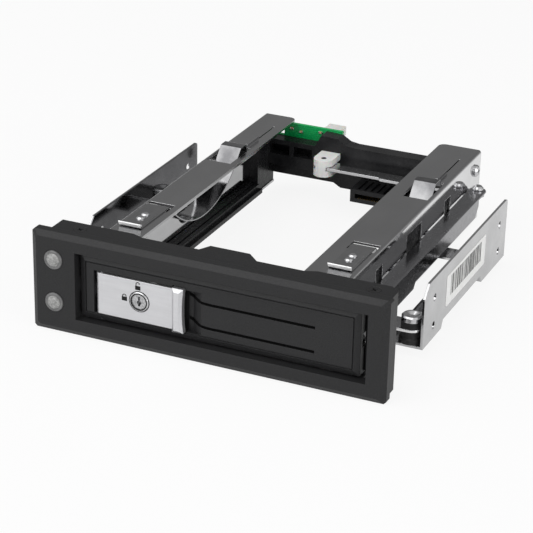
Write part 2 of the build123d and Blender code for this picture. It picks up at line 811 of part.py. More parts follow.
def cage_cuts(side):
    x0, x1 = spring_span(side)
    window_x = (x0 - window_clearance, x1 + window_clearance)
    z_span = (cage_top - sheet - 0.5, cage_top)
    window_y0 = spring_front + spring_pad_length
    cuts = [block(*window_x, window_y0, window_y0 + front_window_length, *z_span)]
    cuts.append(block(*window_x, spring_bow_rear - window_front_room, hook_window_end(), *z_span))
    middle = (x0 + x1) / 2
    for y in spring_rivet_ys():
        cuts.append(post(middle, y, *z_span, rivet_radius))
    slit_x = lance_x(side)
    slit_y = hook_window_end() + lance_length
    half = guide_slit_width / 2
    cuts.append(block(slit_x - half, slit_x + half, slit_y, slit_y + guide_slit_length, *z_span))
    wall_x = inward(side, -1, sheet + 1)
    cuts.append(wall_window(wall_x, wall_window_front, wall_window_size, tab_level + 2.7, wall_window_size))
    for y in lance_window_ys:
        cuts.append(block(*wall_x, y, y + lance_window_length, lance_window_low, lance_window_high))
    cuts.append(rod_x(*wall_x, side_screw_y, side_screw_level, screw_clear_radius))
    cuts.append(rod_x(*wall_x, side_screw_y, locating_peg_level, locating_peg_radius + fit_gap))
    if side < 0:
        notch = handle_z - hook_height / 2 - 1.0, handle_z + hook_height / 2 + 1.0
        cuts.append(block(*wall_x, cage_y0, cage_y0 + 6.5, *notch))
    else:
        cuts.append(lever_slot(wall_x))
        for y in slide_rivet_places:
            cuts.append(rod_x(*wall_x, y, slide_rivet_z, rivet_radius))
    return cuts


def lance_x(side):
    x0, x1 = spring_span(side)
    return x1 - 1.1 if side < 0 else x0 + 7.0


def lance_tab(side):
    # Raised strip beside the spring's hook, cut from the top plate and turned up
    x = lance_x(side)
    y0 = hook_window_end()
    return block(x - sheet / 2, x + sheet / 2, y0, y0 + lance_length - 1.2, cage_top, cage_top + 1.6)


def spring_rivet_ys():
    first = spring_front + first_rivet_inset
    return first, first + rivet_pitch


def hook_window_end():
    return spring_bow_rear + spring_hump_front + spring_hump_length + 2.0


def wall_window(x_span, y0, length, z0, height):
    low = block(*x_span, y0, y0 + length, z0 + length / 2, z0 + height)
    return low + rod_x(*x_span, y0 + length / 2, z0 + length / 2, length / 2)


def lever_slot(x_span):
    y0 = lever_y - lever_end_radius - link_stroke - 1.2
    y1 = lever_y + lever_end_radius + 1.2
    return block(*x_span, y0, y1, lever_z0 - 0.4, lever_z1 + 0.4)


def guide_rail(side):
    x0, x1 = inward(side, sheet, sheet + rail_width)
    low = cage_bottom + sheet
    y0 = cage_y0 + 8.0
    y1 = cage_y1 - crossbar_cheek_length - 0.4
    rail = block(x0, x1, y0, y1, low, rail_top)
    lip = (x1, x1 + rail_lip) if side < 0 else (x0 - rail_lip, x0)
    rail += block(*lip, y0 + 6.0, y1, low, low + rail_height / 2)
    groove_x = inward(side, sheet + rail_width / 2 - 0.4, sheet + rail_width / 2 + 0.4)
    rail -= block(*groove_x, y0, y1, rail_top - 0.8, rail_top)
    nose = rail.edges().filter_by(Axis.X).group_by(Axis.Y)[0].sort_by(Axis.Z)
    return chamfer(nose[-1], 1.5)


def leaf_spring(side):
    x0, x1 = spring_span(side)
    base = cage_top + 0.01
    bow_z = cage_top - spring_bow_gap
    bow_y = (spring_bow_front + spring_bow_rear) / 2
    belly = (bow_y, bow_z - spring_bow_depth)
    bow = ThreePointArc((spring_bow_front, bow_z), belly, (spring_bow_rear, bow_z))
    slope = abs((bow % 0).Y / (bow % 0).X)
    pad_y = spring_bow_front - (base - bow_z) / slope
    hump_y = spring_bow_rear + (spring_bow_gap + spring_hump) / slope
    hump_z = cage_top + spring_hump
    front = [(spring_front - 0.6, base + spring_lip_height), (spring_front + 0.8, base), (pad_y, base),
             (spring_bow_front, bow_z)]
    rear = [(spring_bow_rear, bow_z), (hump_y, hump_z), (hump_y + spring_hump_length - 1.6, hump_z),
            (hump_y + spring_hump_length, cage_top - 1.0)]
    line = FilletPolyline(*front, radius=1.6) + bow + FilletPolyline(*rear, radius=1.2)
    profile = offset(line, amount=spring_thickness, side=Side.LEFT)
    spring = sheet_yz(profile, x0, x1)
    rib_x1 = x1 - 0.8
    rib_y0 = spring_front + 2.6
    rib_z = base + spring_thickness
    rib = block(rib_x1 - spring_rib_width, rib_x1, rib_y0, rib_y0 + spring_rib_length, rib_z, rib_z + 0.5)
    spring += chamfer(rib.edges().group_by(Axis.Z)[-1], 0.3)
    for y in spring_rivet_ys():
        spring -= post((x0 + x1) / 2, y, base, rib_z, rivet_radius)
    return spring


def spring_rivets():
    rivets = []
    for side in (-1, 1):
        x0, x1 = spring_span(side)
        for y in spring_rivet_ys():
            top = cage_top + spring_thickness + 0.01
            rivet = post((x0 + x1) / 2, y, cage_top - sheet - 0.4, top, rivet_radius - shank_gap)
            head = post((x0 + x1) / 2, y, top, top + rivet_head_height, rivet_head_radius)
            rivet += chamfer(head.edges().sort_by(Axis.Z)[-1], 0.6)
            rivets.append(rivet)
    return rivets


# Side brackets and rubber posts

def side_bracket(side):
    x_wall = bracket_span(side, 0, sheet)
    y0 = bracket_front
    y1 = bracket_front + bracket_length
    foot_y = y0 + bracket_foot_length
    rear_y = y1 - bracket_foot_length - 9.0
    low = bracket_bottom
    raised = bracket_bottom + bracket_raise
    line = Polyline(
        (y0, low), (foot_y, low), (foot_y + 2.0, raised), (rear_y - 2.0, raised), (rear_y, low),
        (y1, low), (y1, bracket_top), (y0 + bracket_corner, bracket_top),
        (y0, bracket_top - bracket_corner), close=True)
    body = sheet_yz(line, *x_wall)
    corners = body.edges().filter_by(Axis.X).group_by(Axis.Z)
    body = fillet(corners[-1] + corners[-2], bracket_rounding)
    x_foot = bracket_span(side, 0, bracket_foot_width)
    body += block(*x_foot, y0, foot_y, low, low + sheet)
    body += block(*x_foot, rear_y, y1, low, low + sheet)
    x_ledge = bracket_span(side, 0, bracket_foot_width - 3.0)
    body += block(*x_ledge, foot_y + 2.0, rear_y - 2.0, raised, raised + sheet)
    for y in bay_hole_ys:
        for z in bay_hole_zs:
            body -= rod_x(*x_wall, y, z, bay_hole_radius)
    for y in post_ys:
        body -= post(side * post_x, y, low, low + sheet, bolt_radius)
    return body


def rubber_post(x, y):
    neck = post(x, y, bracket_floor, tab_level + sheet + 0.01, rubber_neck_radius)
    cap_top = tab_level + sheet + rubber_cap_height
    cap = post(x, y, tab_level + sheet, cap_top, rubber_radius)
    foot_top = bracket_floor + rubber_foot_height
    foot = post(x, y, bracket_floor, foot_top, rubber_foot_radius)
    foot = chamfer(foot.edges().sort_by(Axis.Z)[-1], 0.6)
    body = post(x, y, foot_top, tab_level, rubber_radius)
    return neck + cap + foot + body - post(x, y, bracket_floor, cap_top, bolt_radius + shank_gap)


def rubber_posts():
    return [rubber_post(x, y) for x, y in each_post()]


def post_bolts():
    bolts = []
    cap_top = tab_level + sheet + rubber_cap_height
    head_top = cap_top + bolt_head_height
    for x, y in each_post():
        head = post(x, y, cap_top, head_top, bolt_head_radius)
        head = chamfer(head.edges().sort_by(Axis.Z)[-1], 0.6)
        dish = Pos(x, y, head_top - bolt_dish_depth / 2) * Cone(1.2, bolt_dish_radius, bolt_dish_depth)
        bolts.append(head + post(x, y, bracket_bottom, cap_top, bolt_radius - shank_gap) - dish)
    return bolts


# Ejector link, the studs that carry it, and the lever

def eject_link():
    plate_y0 = crank_y - crank_pin_radius - slot_clearance - 1.6
    plate_y1 = crank_y + crank_pin_radius + slot_clearance + 1.6
    flange = block(link_x0, link_x1, plate_y0, lever_y, ledge_z0, ledge_z1)
    flange += post(lever_pin_x, lever_y, ledge_z0, ledge_z1, link_width / 2)
    pin_right = crank_x + crank_pin_radius + slot_clearance + 1.5
    flange += block(link_x0, pin_right, plate_y0, plate_y1, ledge_z0, ledge_z1)
    front_z = ledge_z1 - link_front_depth
    rear_z = ledge_z1 - link_rear_depth
    lower = Polyline(
        (link_web_front, ledge_z1), (link_web_front, front_z + 3.0), (link_web_front + 3.0, front_z),
        (link_step, front_z), (link_step + 2.0, rear_z), (link_web_rear - 4.0, rear_z),
        (link_web_rear, rear_z + 4.0), (link_web_rear, ledge_z1), close=True)
    body = flange + sheet_yz(lower, link_x1 - link_sheet, link_x1)
    outer = [edge for edge in body.edges().filter_by(Axis.Y)
             if abs(edge.center().X - link_x1) < 0.01 and abs(edge.center().Z - ledge_z1) < 0.01
             and link_web_front < edge.center().Y < link_web_rear]
    body = fillet(outer, link_sheet * 0.8)
    travel = crank_radius * (1 - math.sin(math.radians(crank_start)))
    y_half = crank_pin_radius + slot_clearance
    body -= block(crank_x - travel - y_half, crank_x + y_half, crank_y - y_half, crank_y + y_half,
                  ledge_z0, ledge_z1)
    x0 = lever_pin_x - lever_shortening - slide_clearance
    x1 = lever_pin_x + slide_clearance
    return body - slot_x(x0, x1, lever_y, ledge_z0, ledge_z1, lever_pin_radius + 0.15)


def slide_rivets():
    # Shouldered studs in the right wall that carry the link's flange
    rivets = []
    for y in slide_rivet_places:
        rivet = rod_x(cage_x1, link_x1 - link_sheet - slide_clearance, y, slide_rivet_z, slide_rivet_radius)
        rivets.append(rivet + rod_x(cage_x1 - sheet, cage_x1, y, slide_rivet_z, rivet_radius - 0.02))
    return rivets


def ejector_lever():
    arm = strap(lever_pivot_x, lever_y, lever_pivot_radius, lever_pin_x, lever_y, lever_end_radius,
                lever_z0, lever_z1)
    arm -= post(lever_pivot_x, lever_y, lever_z0, lever_z1, lever_pin_radius + running_gap)
    nose_x0 = socket_x - 8.0
    nose = block(nose_x0, nose_x0 + 16.0, lever_y - 4.2, lever_y, lever_z0, lever_z1)
    arm += fillet(nose.edges().filter_by(Axis.Z).group_by(Axis.Y)[0], 1.2)
    return arm - post(lever_pin_x, lever_y, lever_z0, lever_z1, lever_pin_radius - 0.2)


def lever_pin():
    head_z = ledge_z1 + 0.15
    pin = post(lever_pin_x, lever_y, lever_z0, lever_z1, lever_pin_radius - 0.22)
    pin += post(lever_pin_x, lever_y, lever_z1, head_z, lever_pin_radius)
    pin += post(lever_pin_x, lever_y, lever_z0 - 0.5, lever_z0, lever_pin_radius + 0.5)
    head = post(lever_pin_x, lever_y, head_z, head_z + 1.6, lever_pin_head_radius)
    return pin + chamfer(head.edges().sort_by(Axis.Z)[-1], 0.8)


def pivot_block():
    # Round boss on the crossbar with a slot for the lever's eye
    half = pivot_block_width / 2
    middle = (lever_z0 + lever_z1) / 2
    z0 = middle - pivot_block_height / 2
    z1 = middle + pivot_block_height / 2
    body = post(lever_pivot_x, lever_y, z0, z1, half)
    body += block(lever_pivot_x - half, lever_pivot_x + half, lever_y, crossbar_y0, z0, z1)
    cavity_z = (lever_z0 - 0.3, lever_z1 + 0.3)
    wall_x = lever_pivot_x - half + pivot_block_wall
    cavity = block(wall_x, lever_pivot_x + half, lever_y - half + pivot_block_wall, crossbar_y0, *cavity_z)
    body -= cavity
    return body - post(lever_pivot_x, lever_y, z0 + 0.8, z1, lever_pin_radius)


def lever_pivot_pin():
    middle = (lever_z0 + lever_z1) / 2
    z0 = middle - pivot_block_height / 2 + 0.8
    z1 = middle + pivot_block_height / 2
    return post(lever_pivot_x, lever_y, z0, z1, lever_pin_radius - 0.01)


# Crossbar, board and connectors

def crossbar_outline():
    low = drive_z0 + crossbar_floor_gap
    top = cage_top - crossbar_top_gap
    hump = top + crossbar_hump
    pivot = lever_pivot_x
    return Polyline(
        (inner_x0, low + crossbar_step), (pivot - 11.0, low + crossbar_step),
        (pivot - 8.0, low + crossbar_step / 2), (pivot, low + crossbar_step / 2), (pivot + 5.0, low),
        (inner_x1, low), (inner_x1, top), (pivot + 11.0, top), (pivot + 7.0, top + 0.6),
        (pivot + 3.0, hump - 0.4), (pivot - 5.0, hump), (pivot - 8.0, top - crossbar_end_drop),
        (inner_x0, top - crossbar_end_drop), close=True)


def rear_crossbar():
    y0 = crossbar_y0
    body = sheet_xz(crossbar_outline(), y0, cage_y1)
    hollow = sheet_xz(crossbar_outline(), y0 + crossbar_skin, cage_y1)
    keep = offset(hollow, amount=-crossbar_skin)
    body -= keep & block(inner_x0, inner_x1, y0 + 2 * crossbar_skin, cage_y1, 0, bezel_height)
    vent_end = lever_pivot_x - 9.4
    vent_rib = vent_end - 10.1
    for x0, x1 in ((inner_x0 + 4.4, vent_rib - 1.0), (vent_rib + 1.0, vent_end)):
        body -= block(x0, x1, y0, cage_y1, middle_z - 1.8, middle_z + 3.0)
    for side in (-1, 1):
        x0, x1 = inward(side, sheet, sheet + crossbar_cheek)
        cheek_y0 = cage_y1 - crossbar_cheek_length
        cheek = block(x0, x1, cheek_y0, cage_y1, cage_bottom + sheet, cage_top - sheet)
        body += chamfer(cheek.edges().filter_by(Axis.X).group_by(Axis.Y)[0], 3.0)
        body -= rod_x(x0, x1, side_screw_y, side_screw_level, screw_hole_radius)
        peg_x = inward(side, 0, sheet + 0.1)
        body += rod_x(*peg_x, side_screw_y, locating_peg_level, locating_peg_radius)
    body -= lever_slot((inner_x1 - crossbar_cheek, inner_x1))
    body -= socket_window()
    for x, z in board_screw_places():
        body -= rod_y(cage_y1 - 6.0, cage_y1, x, z, screw_hole_radius)
    return body


def socket_window():
    half = socket_width / 2 + fit_gap
    z_span = (socket_z0 - fit_gap, socket_z0 + socket_height + fit_gap)
    return block(socket_x - half, socket_x + half, crossbar_y0, cage_y1, *z_span)


def crossbar_screws():
    screws = []
    for side in (-1, 1):
        outer_x = cage_x0 if side < 0 else cage_x1
        tip = outer_x - side * (sheet + crossbar_cheek)
        place = Pos(outer_x, side_screw_y, side_screw_level) * Rot(0, side * 90, 0)
        screws.append(place * pan_screw(abs(tip - outer_x)))
    return screws


def pan_screw(length):
    # Head upwards with its underside at the origin
    head = post(0, 0, 0, pan_head_height, screw_head_radius)
    head = chamfer(head.edges().sort_by(Axis.Z)[-1], pan_head_height / 2, pan_head_height / 2)
    cross = block(-1.4, 1.4, -0.25, 0.25, pan_head_height / 2, pan_head_height)
    return head + post(0, 0, -length, 0, screw_radius) - cross - Rot(0, 0, 90) * cross


def board_screw_places():
    low = drive_z0 + 11.0
    return ((inner_x0 + 5.8, low - 2.55), (inner_x1 - 6.0, low), (lever_pivot_x + 7.0, low))


def backplane_board():
    z0 = drive_z0 - 0.4
    x0 = inner_x0 + board_inset
    x1 = inner_x1 - board_inset
    notch_x = x0 + 7.4
    tall_x = lever_pivot_x + 2.6
    line = Polyline(
        (x0, z0), (x1, z0), (x1, z0 + board_low_height), (tall_x, z0 + board_low_height),
        (tall_x, z0 + board_height), (notch_x, z0 + board_height), (notch_x, z0 + board_height - 6.0),
        (x0, z0 + board_height - 6.0), close=True)
    board = sheet_xz(line, board_y0, board_y1)
    for x, z in board_screw_places():
        board -= rod_y(board_y0, board_y1, x, z, screw_clear_radius)
    return board


def board_screws():
    length = board_y1 - cage_y1 + 5.6
    return [Pos(x, board_y1, z) * Rot(-90, 0, 0) * pan_screw(length) for x, z in board_screw_places()]


def drive_socket():
    y0 = cage_y1 - socket_reach
    half = socket_width / 2
    z1 = socket_z0 + socket_height
    body = block(socket_x - half, socket_x + half, y0, board_y0, socket_z0, z1)
    slot_z = (socket_z0 + 1.9, socket_z0 + 4.1)
    body -= block(socket_x - half + 2.2, socket_x + 3.0, y0, y0 + 6.0, *slot_z)
    body -= block(socket_x + 5.0, socket_x + half - 3.2, y0, y0 + 6.0, *slot_z)
    fin_step = 3.0
    for index in range(12):
        x = socket_x - half + 3.0 + index * fin_step
        body -= block(x, x + 1.2, y0 + 1.2, crossbar_y0 - 1.0, z1 - 0.8, z1)
    return body


def rear_port(x0, width):
    y0 = board_y1 + 1.6
    y1 = board_y1 + port_depth
    z0 = drive_z0 + 1.0
    z1 = z0 + port_height
    tongue_inset = 2.7
    body = block(x0, x0 + width, board_y1, y1, z0, z1)
    body -= block(x0 + port_wall, x0 + width - port_wall, y0, y1, z0 + port_wall, z1 - port_wall)
    middle_port = (z0 + z1) / 2
    return body + block(x0 + tongue_inset, x0 + width - tongue_inset, y0, y1 - 0.8,
                        middle_port - 0.6, middle_port + 0.6)


def data_port():
    return rear_port(inner_x0 + data_port_inset, data_port_width)


def power_port():
    return rear_port(inner_x0 + power_port_inset, power_port_width)


def cable_header():
    x1 = lever_pivot_x + 1.0
    x0 = x1 - cable_header_width
    y1 = board_y1 + cable_header_depth
    z0 = drive_z0 + cable_header_level
    z1 = z0 + cable_header_height
    wall = 0.9
    return block(x0, x1, board_y1, y1, z0, z1) - block(x0 + wall, x1 - wall, board_y1 + 1.5, y1,
                                                       z0 + wall, z1 - wall)


# Each node with the piece or the group of like pieces that it holds

nodes = {
    "bezel": bezel(),
    "bezel_screws": bezel_screws(),
    "indicator_rings": indicator_rings(),
    "light_pipe_upper": light_pipe(indicator_zs[0]),
    "light_pipe_lower": light_pipe(indicator_zs[1]),
    "indicator_board": indicator_board(),
    "door_panel": door_panel(),
    "hinge_pin": hinge_pin(),
    "door_crank": door_crank(),
    "crank_pin": crank_pin(),
    "latch_handle": latch_handle(),
    "handle_pivot_pin": handle_pivot_pin(),
    "latch_spring": latch_spring(),
    "lock_barrel": lock_barrel(),
    "lock_core": lock_core(),
    "lock_cam": lock_cam(),
    "cage_side_left": cage_side(-1),
    "cage_side_right": cage_side(1),
    "guide_rail_left": guide_rail(-1),
    "guide_rail_right": guide_rail(1),
    "leaf_spring_left": leaf_spring(-1),
    "leaf_spring_right": leaf_spring(1),
    "spring_rivets": spring_rivets(),
    "bracket_left": side_bracket(-1),
    "bracket_right": side_bracket(1),
    "rubber_posts": rubber_posts(),
    "post_bolts": post_bolts(),
    "eject_link": eject_link(),
    "slide_rivets": slide_rivets(),
    "ejector_lever": ejector_lever(),
    "lever_pin": lever_pin(),
    "pivot_block": pivot_block(),
    "lever_pivot_pin": lever_pivot_pin(),
    "rear_crossbar": rear_crossbar(),
    "crossbar_screws": crossbar_screws(),
    "backplane_board": backplane_board(),
    "board_screws": board_screws(),
    "drive_socket": drive_socket(),
    "data_port": data_port(),
    "power_port": power_port(),
    "cable_header": cable_header(),
}

os.makedirs("parts", exist_ok=True)
to_origin = Pos(0, -centre_y, 0)
for name, piece in nodes.items():
    if isinstance(piece, list):
        placed = Compound(children=[to_origin * item for item in piece])
    else:
        placed = to_origin * piece
    export_step(placed, os.path.join("parts", name + ".step"))
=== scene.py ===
import json
import math
import random

import bmesh
import bpy
from mathutils import Matrix, Vector


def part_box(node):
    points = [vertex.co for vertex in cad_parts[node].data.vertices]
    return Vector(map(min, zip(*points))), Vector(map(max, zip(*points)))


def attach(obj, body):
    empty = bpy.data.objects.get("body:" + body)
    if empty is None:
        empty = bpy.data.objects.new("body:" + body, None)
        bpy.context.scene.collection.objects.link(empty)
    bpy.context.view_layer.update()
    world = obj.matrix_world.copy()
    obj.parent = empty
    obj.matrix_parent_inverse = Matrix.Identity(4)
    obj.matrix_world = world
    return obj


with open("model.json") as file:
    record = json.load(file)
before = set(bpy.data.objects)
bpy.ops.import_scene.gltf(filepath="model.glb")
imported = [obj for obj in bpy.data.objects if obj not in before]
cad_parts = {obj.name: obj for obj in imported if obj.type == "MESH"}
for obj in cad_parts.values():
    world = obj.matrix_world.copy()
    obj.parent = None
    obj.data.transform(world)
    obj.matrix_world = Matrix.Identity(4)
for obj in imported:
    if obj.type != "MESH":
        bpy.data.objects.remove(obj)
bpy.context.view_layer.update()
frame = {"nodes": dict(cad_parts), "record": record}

MM = 0.001

# Sizes of the cage that the details are set out from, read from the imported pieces

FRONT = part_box("bezel")[0].y
BRACKET_LOW, BRACKET_HIGH = (Vector(corner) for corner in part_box("bracket_right"))
LATCH_LOW, LATCH_HIGH = (Vector(corner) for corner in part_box("latch_handle"))
LOCK_LOW, LOCK_HIGH = (Vector(corner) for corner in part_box("lock_core"))
LOCK_CENTRE = (LOCK_LOW + LOCK_HIGH) / 2
DOOR_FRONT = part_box("door_panel")[0].y
BOARD_LOW, BOARD_HIGH = (Vector(corner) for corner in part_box("backplane_board"))
SPRING_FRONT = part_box("leaf_spring_right")[0].y
RAISED_LIP = 1.6 * MM
SHEET = 1.0 * MM
SHEET_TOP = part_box("cage_side_right")[1].z - RAISED_LIP
WALL_INNER_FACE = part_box("slide_rivets")[0].x
WALL_OUTER_FACE = WALL_INNER_FACE + SHEET

# View of the photograph: angles in degrees, places in millimetres from the bezel's front face

CAMERA_AZIMUTH = 23.76
CAMERA_ELEVATION = 24.31
CAMERA_ROLL = 1.30
CAMERA_DISTANCE = 801.81
CAMERA_AIM = (0.0, 70.0, 20.0)
CAMERA_SHIFT_RIGHT = -4.96
CAMERA_SHIFT_UP = -6.51
IMAGE_SIDE = 533
FOCAL_PIXELS = 1980.78
SENSOR = 36.0


def set_camera():
    azimuth = math.radians(CAMERA_AZIMUTH)
    elevation = math.radians(CAMERA_ELEVATION)
    roll = math.radians(CAMERA_ROLL)
    back = Vector((math.sin(azimuth) * math.cos(elevation), -math.cos(azimuth) * math.cos(elevation),
                   math.sin(elevation)))
    level_right = Vector((math.cos(azimuth), math.sin(azimuth), 0))
    level_up = back.cross(level_right)
    right = level_right * math.cos(roll) + level_up * math.sin(roll)
    up = level_up * math.cos(roll) - level_right * math.sin(roll)
    aim = Vector(CAMERA_AIM) * MM + Vector((0, FRONT, 0))
    place = aim + (back * CAMERA_DISTANCE + right * CAMERA_SHIFT_RIGHT + up * CAMERA_SHIFT_UP) * MM
    data = bpy.data.cameras.new("camera")
    data.sensor_width = SENSOR
    data.lens = FOCAL_PIXELS * SENSOR / IMAGE_SIDE
    data.clip_start = 0.05
    data.clip_end = 20
    camera = bpy.data.objects.new("camera", data)
    camera.matrix_world = Matrix.Translation(place) @ Matrix((right, up, back)).transposed().to_4x4()
    bpy.context.collection.objects.link(camera)
    bpy.context.scene.camera = camera


# Materials

class Finish:
    """One node material with the object's own coordinates ready to use."""

    def __init__(self, name, colour, roughness, metallic=0.0):
        self.material = bpy.data.materials.new(name)
        self.material.use_nodes = True
        self.tree = self.material.node_tree
        self.shader = self.tree.nodes["Principled BSDF"]
        self.shader.inputs["Base Color"].default_value = (*colour, 1)
        self.shader.inputs["Roughness"].default_value = roughness
        self.shader.inputs["Metallic"].default_value = metallic
        self.coordinates = self.node("ShaderNodeTexCoord").outputs["Object"]
        self.normal = None

    def node(self, kind, **settings):
        made = self.tree.nodes.new(kind)
        for key, value in settings.items():
            setattr(made, key, value)
        return made

    def link(self, source, target):
        self.tree.links.new(source, target)

    def set(self, **values):
        for key, value in values.items():
            self.shader.inputs[key.replace("_", " ")].default_value = value
        return self

    def stretched(self, scale, turn=(0, 0, 0)):
        mapping = self.node("ShaderNodeMapping")
        mapping.inputs["Scale"].default_value = scale
        mapping.inputs["Rotation"].default_value = turn
        self.link(self.coordinates, mapping.inputs["Vector"])
        return mapping.outputs["Vector"]

    def noise(self, scale, detail=3.0, stretch=(1, 1, 1), roughness=0.55):
        noise = self.node("ShaderNodeTexNoise")
        noise.inputs["Scale"].default_value = scale
        noise.inputs["Detail"].default_value = detail
        noise.inputs["Roughness"].default_value = roughness
        self.link(self.stretched(stretch), noise.inputs["Vector"])
        return noise.outputs["Fac"]

    def spread(self, factor, low, high, start=0.3, end=0.7):
        """A factor's run from start to end, mapped to low to high and held there outside it."""
        ramp = self.node("ShaderNodeMapRange")
        ramp.inputs["From Min"].default_value = start
        ramp.inputs["From Max"].default_value = end
        ramp.inputs["To Min"].default_value = low
        ramp.inputs["To Max"].default_value = high
        self.link(factor, ramp.inputs["Value"])
        return ramp.outputs["Result"]

    def combined(self, operation, first, second):
        """Two factors made one, by the operation named."""
        result = self.node("ShaderNodeMath", operation=operation)
        self.link(first, result.inputs[0])
        self.link(second, result.inputs[1])
        return result.outputs["Value"]

    def place(self):
        """The point's own x, y and z on the piece, in metres."""
        axes = self.node("ShaderNodeSeparateXYZ")
        self.link(self.coordinates, axes.inputs["Vector"])
        return (axes.outputs[axis] for axis in "XYZ")

    def blended(self, factor, first, second):
        """The first colour where the factor is 0, and the second where it is 1."""
        mix = self.node("ShaderNodeMix", data_type="RGBA")
        self.link(factor, mix.inputs["Factor"])
        for side, colour in (("A", first), ("B", second)):
            if isinstance(colour, tuple):
                mix.inputs[side].default_value = (*colour, 1)
            else:
                self.link(colour, mix.inputs[side])
        return mix.outputs["Result"]

    def mixed(self, factor, first, second):
        return self.blended(self.spread(factor, 0, 1, 0.35, 0.65), first, second)

    def coloured(self, colour):
        self.link(colour, self.shader.inputs["Base Color"])
        return self

    def tint(self, factor, first, second):
        return self.coloured(self.mixed(factor, first, second))

    def rough(self, factor, low, high):
        self.link(self.spread(factor, low, high), self.shader.inputs["Roughness"])
        return self

    def soft_edges(self, radius):
        """Edges that shade as if rounded, by a radius in millimetres."""
        bevel = self.node("ShaderNodeBevel", samples=6)
        bevel.inputs["Radius"].default_value = radius * MM
        self.normal = bevel.outputs["Normal"]
        self.link(self.normal, self.shader.inputs["Normal"])
        return self

    def bump(self, factor, depth, strength=1.0):
        """A raised texture, its depth in millimetres."""
        bump = self.node("ShaderNodeBump")
        bump.inputs["Distance"].default_value = depth * MM
        bump.inputs["Strength"].default_value = strength
        self.link(factor, bump.inputs["Height"])
        if self.normal:
            self.link(self.normal, bump.inputs["Normal"])
        self.normal = bump.outputs["Normal"]
        self.link(self.normal, self.shader.inputs["Normal"])
        return self


def spark_textured_black():
    finish = Finish("spark_textured_black", (0.02, 0.02, 0.021), 0.5)
    finish.set(Specular_IOR_Level=0.24)
    finish.soft_edges(0.3)
    grain = finish.noise(5200, 2)
    finish.tint(finish.noise(2400, 3), (0.013, 0.013, 0.0135), (0.021, 0.021, 0.022))
    finish.rough(grain, 0.36, 0.52)
    return finish.bump(grain, 0.02, 0.6).material


def smooth_black_moulding():
    finish = Finish("smooth_black_moulding", (0.012, 0.012, 0.013), 0.3)
    finish.set(Specular_IOR_Level=0.2)
    finish.soft_edges(0.2)
    finish.tint(finish.noise(160, 3), (0.009, 0.009, 0.01), (0.017, 0.017, 0.018))
    finish.rough(finish.noise(420, 4), 0.22, 0.36)
    return finish.bump(finish.noise(1500, 3), 0.01, 0.5).material


def connector_black():
    finish = Finish("connector_black", (0.008, 0.008, 0.009), 0.45)
    finish.set(Specular_IOR_Level=0.3)
    finish.soft_edges(0.12)
    finish.tint(finish.noise(300), (0.006, 0.006, 0.007), (0.013, 0.013, 0.014))
    return finish.bump(finish.noise(2400, 4), 0.015, 0.6).material


def white_moulding(name, colour, roughness):
    finish = Finish(name, colour, roughness)
    finish.soft_edges(0.25)
    finish.set(Subsurface_Weight=0.15, Subsurface_Scale=0.002)
    darker = tuple(value * 0.9 for value in colour)
    finish.tint(finish.noise(180, 4), darker, colour)
    finish.rough(finish.noise(600), roughness - 0.08, roughness + 0.1)
    return finish.bump(finish.noise(1800, 3), 0.01, 0.4).material


def solder_mask_green():
    """Green lacquer over copper runs, which show as a lighter, raised pattern."""
    finish = Finish("solder_mask_green", (0.0, 0.24, 0.07), 0.25)
    traces = finish.node("ShaderNodeTexBrick", offset=0.5)
    traces.inputs["Scale"].default_value = 260
    traces.inputs["Mortar Size"].default_value = 0.05
    traces.inputs["Brick Width"].default_value = 1.4
    finish.link(finish.stretched((1, 1, 1), (math.radians(90), 0, 0)), traces.inputs["Vector"])
    finish.coloured(finish.blended(traces.outputs["Fac"], (0.0, 0.3, 0.07), (0.004, 0.4, 0.1)))
    finish.rough(finish.noise(500), 0.18, 0.34)
    return finish.bump(traces.outputs["Fac"], 0.02, 0.6).material


def polished_sheet():
    """Cage sheet: a rougher rolled top painted darker as shade, mirror-like walls, and painted shade at the
    roots of the tabs on the right.
    """
    finish = Finish("polished_sheet", (0.2, 0.2, 0.205), 0.1, 1.0)
    finish.soft_edges(0.3)
    x, y, z = finish.place()
    top = finish.spread(z, 0, 1, SHEET_TOP - 1.4 * MM, SHEET_TOP - 0.9 * MM)
    outer = finish.spread(x, 0, 1, WALL_OUTER_FACE - 0.25 * MM, WALL_OUTER_FACE - 0.15 * MM)
    # Painted shade: dark patches at the roots of the tabs, and at the foot of the wall's front end
    tab = finish.spread(x, 0, 1, WALL_OUTER_FACE + 0.02 * MM, WALL_OUTER_FACE + 0.1 * MM)
    near_wall = finish.spread(x, 1, 0, WALL_OUTER_FACE + 6 * MM, WALL_OUTER_FACE + 8 * MM)
    low = finish.spread(z, 1, 0, 12 * MM, 13 * MM)
    front = finish.spread(y, 1, 0, FRONT + 50 * MM, FRONT + 52 * MM)
    front_foot = finish.combined("MULTIPLY", outer, front)
    tab_root = finish.combined("MULTIPLY", low, near_wall)
    painted_shade = finish.combined("MULTIPLY", finish.combined("MAXIMUM", tab, front_foot), tab_root)
    cloud = finish.noise(38, 4, (1, 0.5, 1))
    # Lit and shaded copies of one sheet: the right wall's outer face painted lighter as painted reflection,
    # the other wall faces darker and the top darker still as painted shade
    shaded_inside = finish.mixed(cloud, (0.44, 0.44, 0.445), (0.56, 0.56, 0.565))
    outside = finish.mixed(cloud, (0.66, 0.66, 0.665), (0.84, 0.84, 0.845))
    shaded_top = finish.mixed(cloud, (0.37, 0.37, 0.375), (0.42, 0.42, 0.425))
    walls = finish.blended(painted_shade, finish.blended(outer, shaded_inside, outside), (0.05, 0.05, 0.052))
    finish.coloured(finish.blended(top, walls, shaded_top))
    streaks = finish.spread(finish.noise(120, 5, (1, 0.15, 1)), -0.02, 0.03)
    sheen = finish.combined("ADD", finish.spread(top, 0.07, 0.2, 0, 1), streaks)
    finish.link(sheen, finish.shader.inputs["Roughness"])
    return finish.bump(finish.noise(60, 3), 0.02, 0.35).material


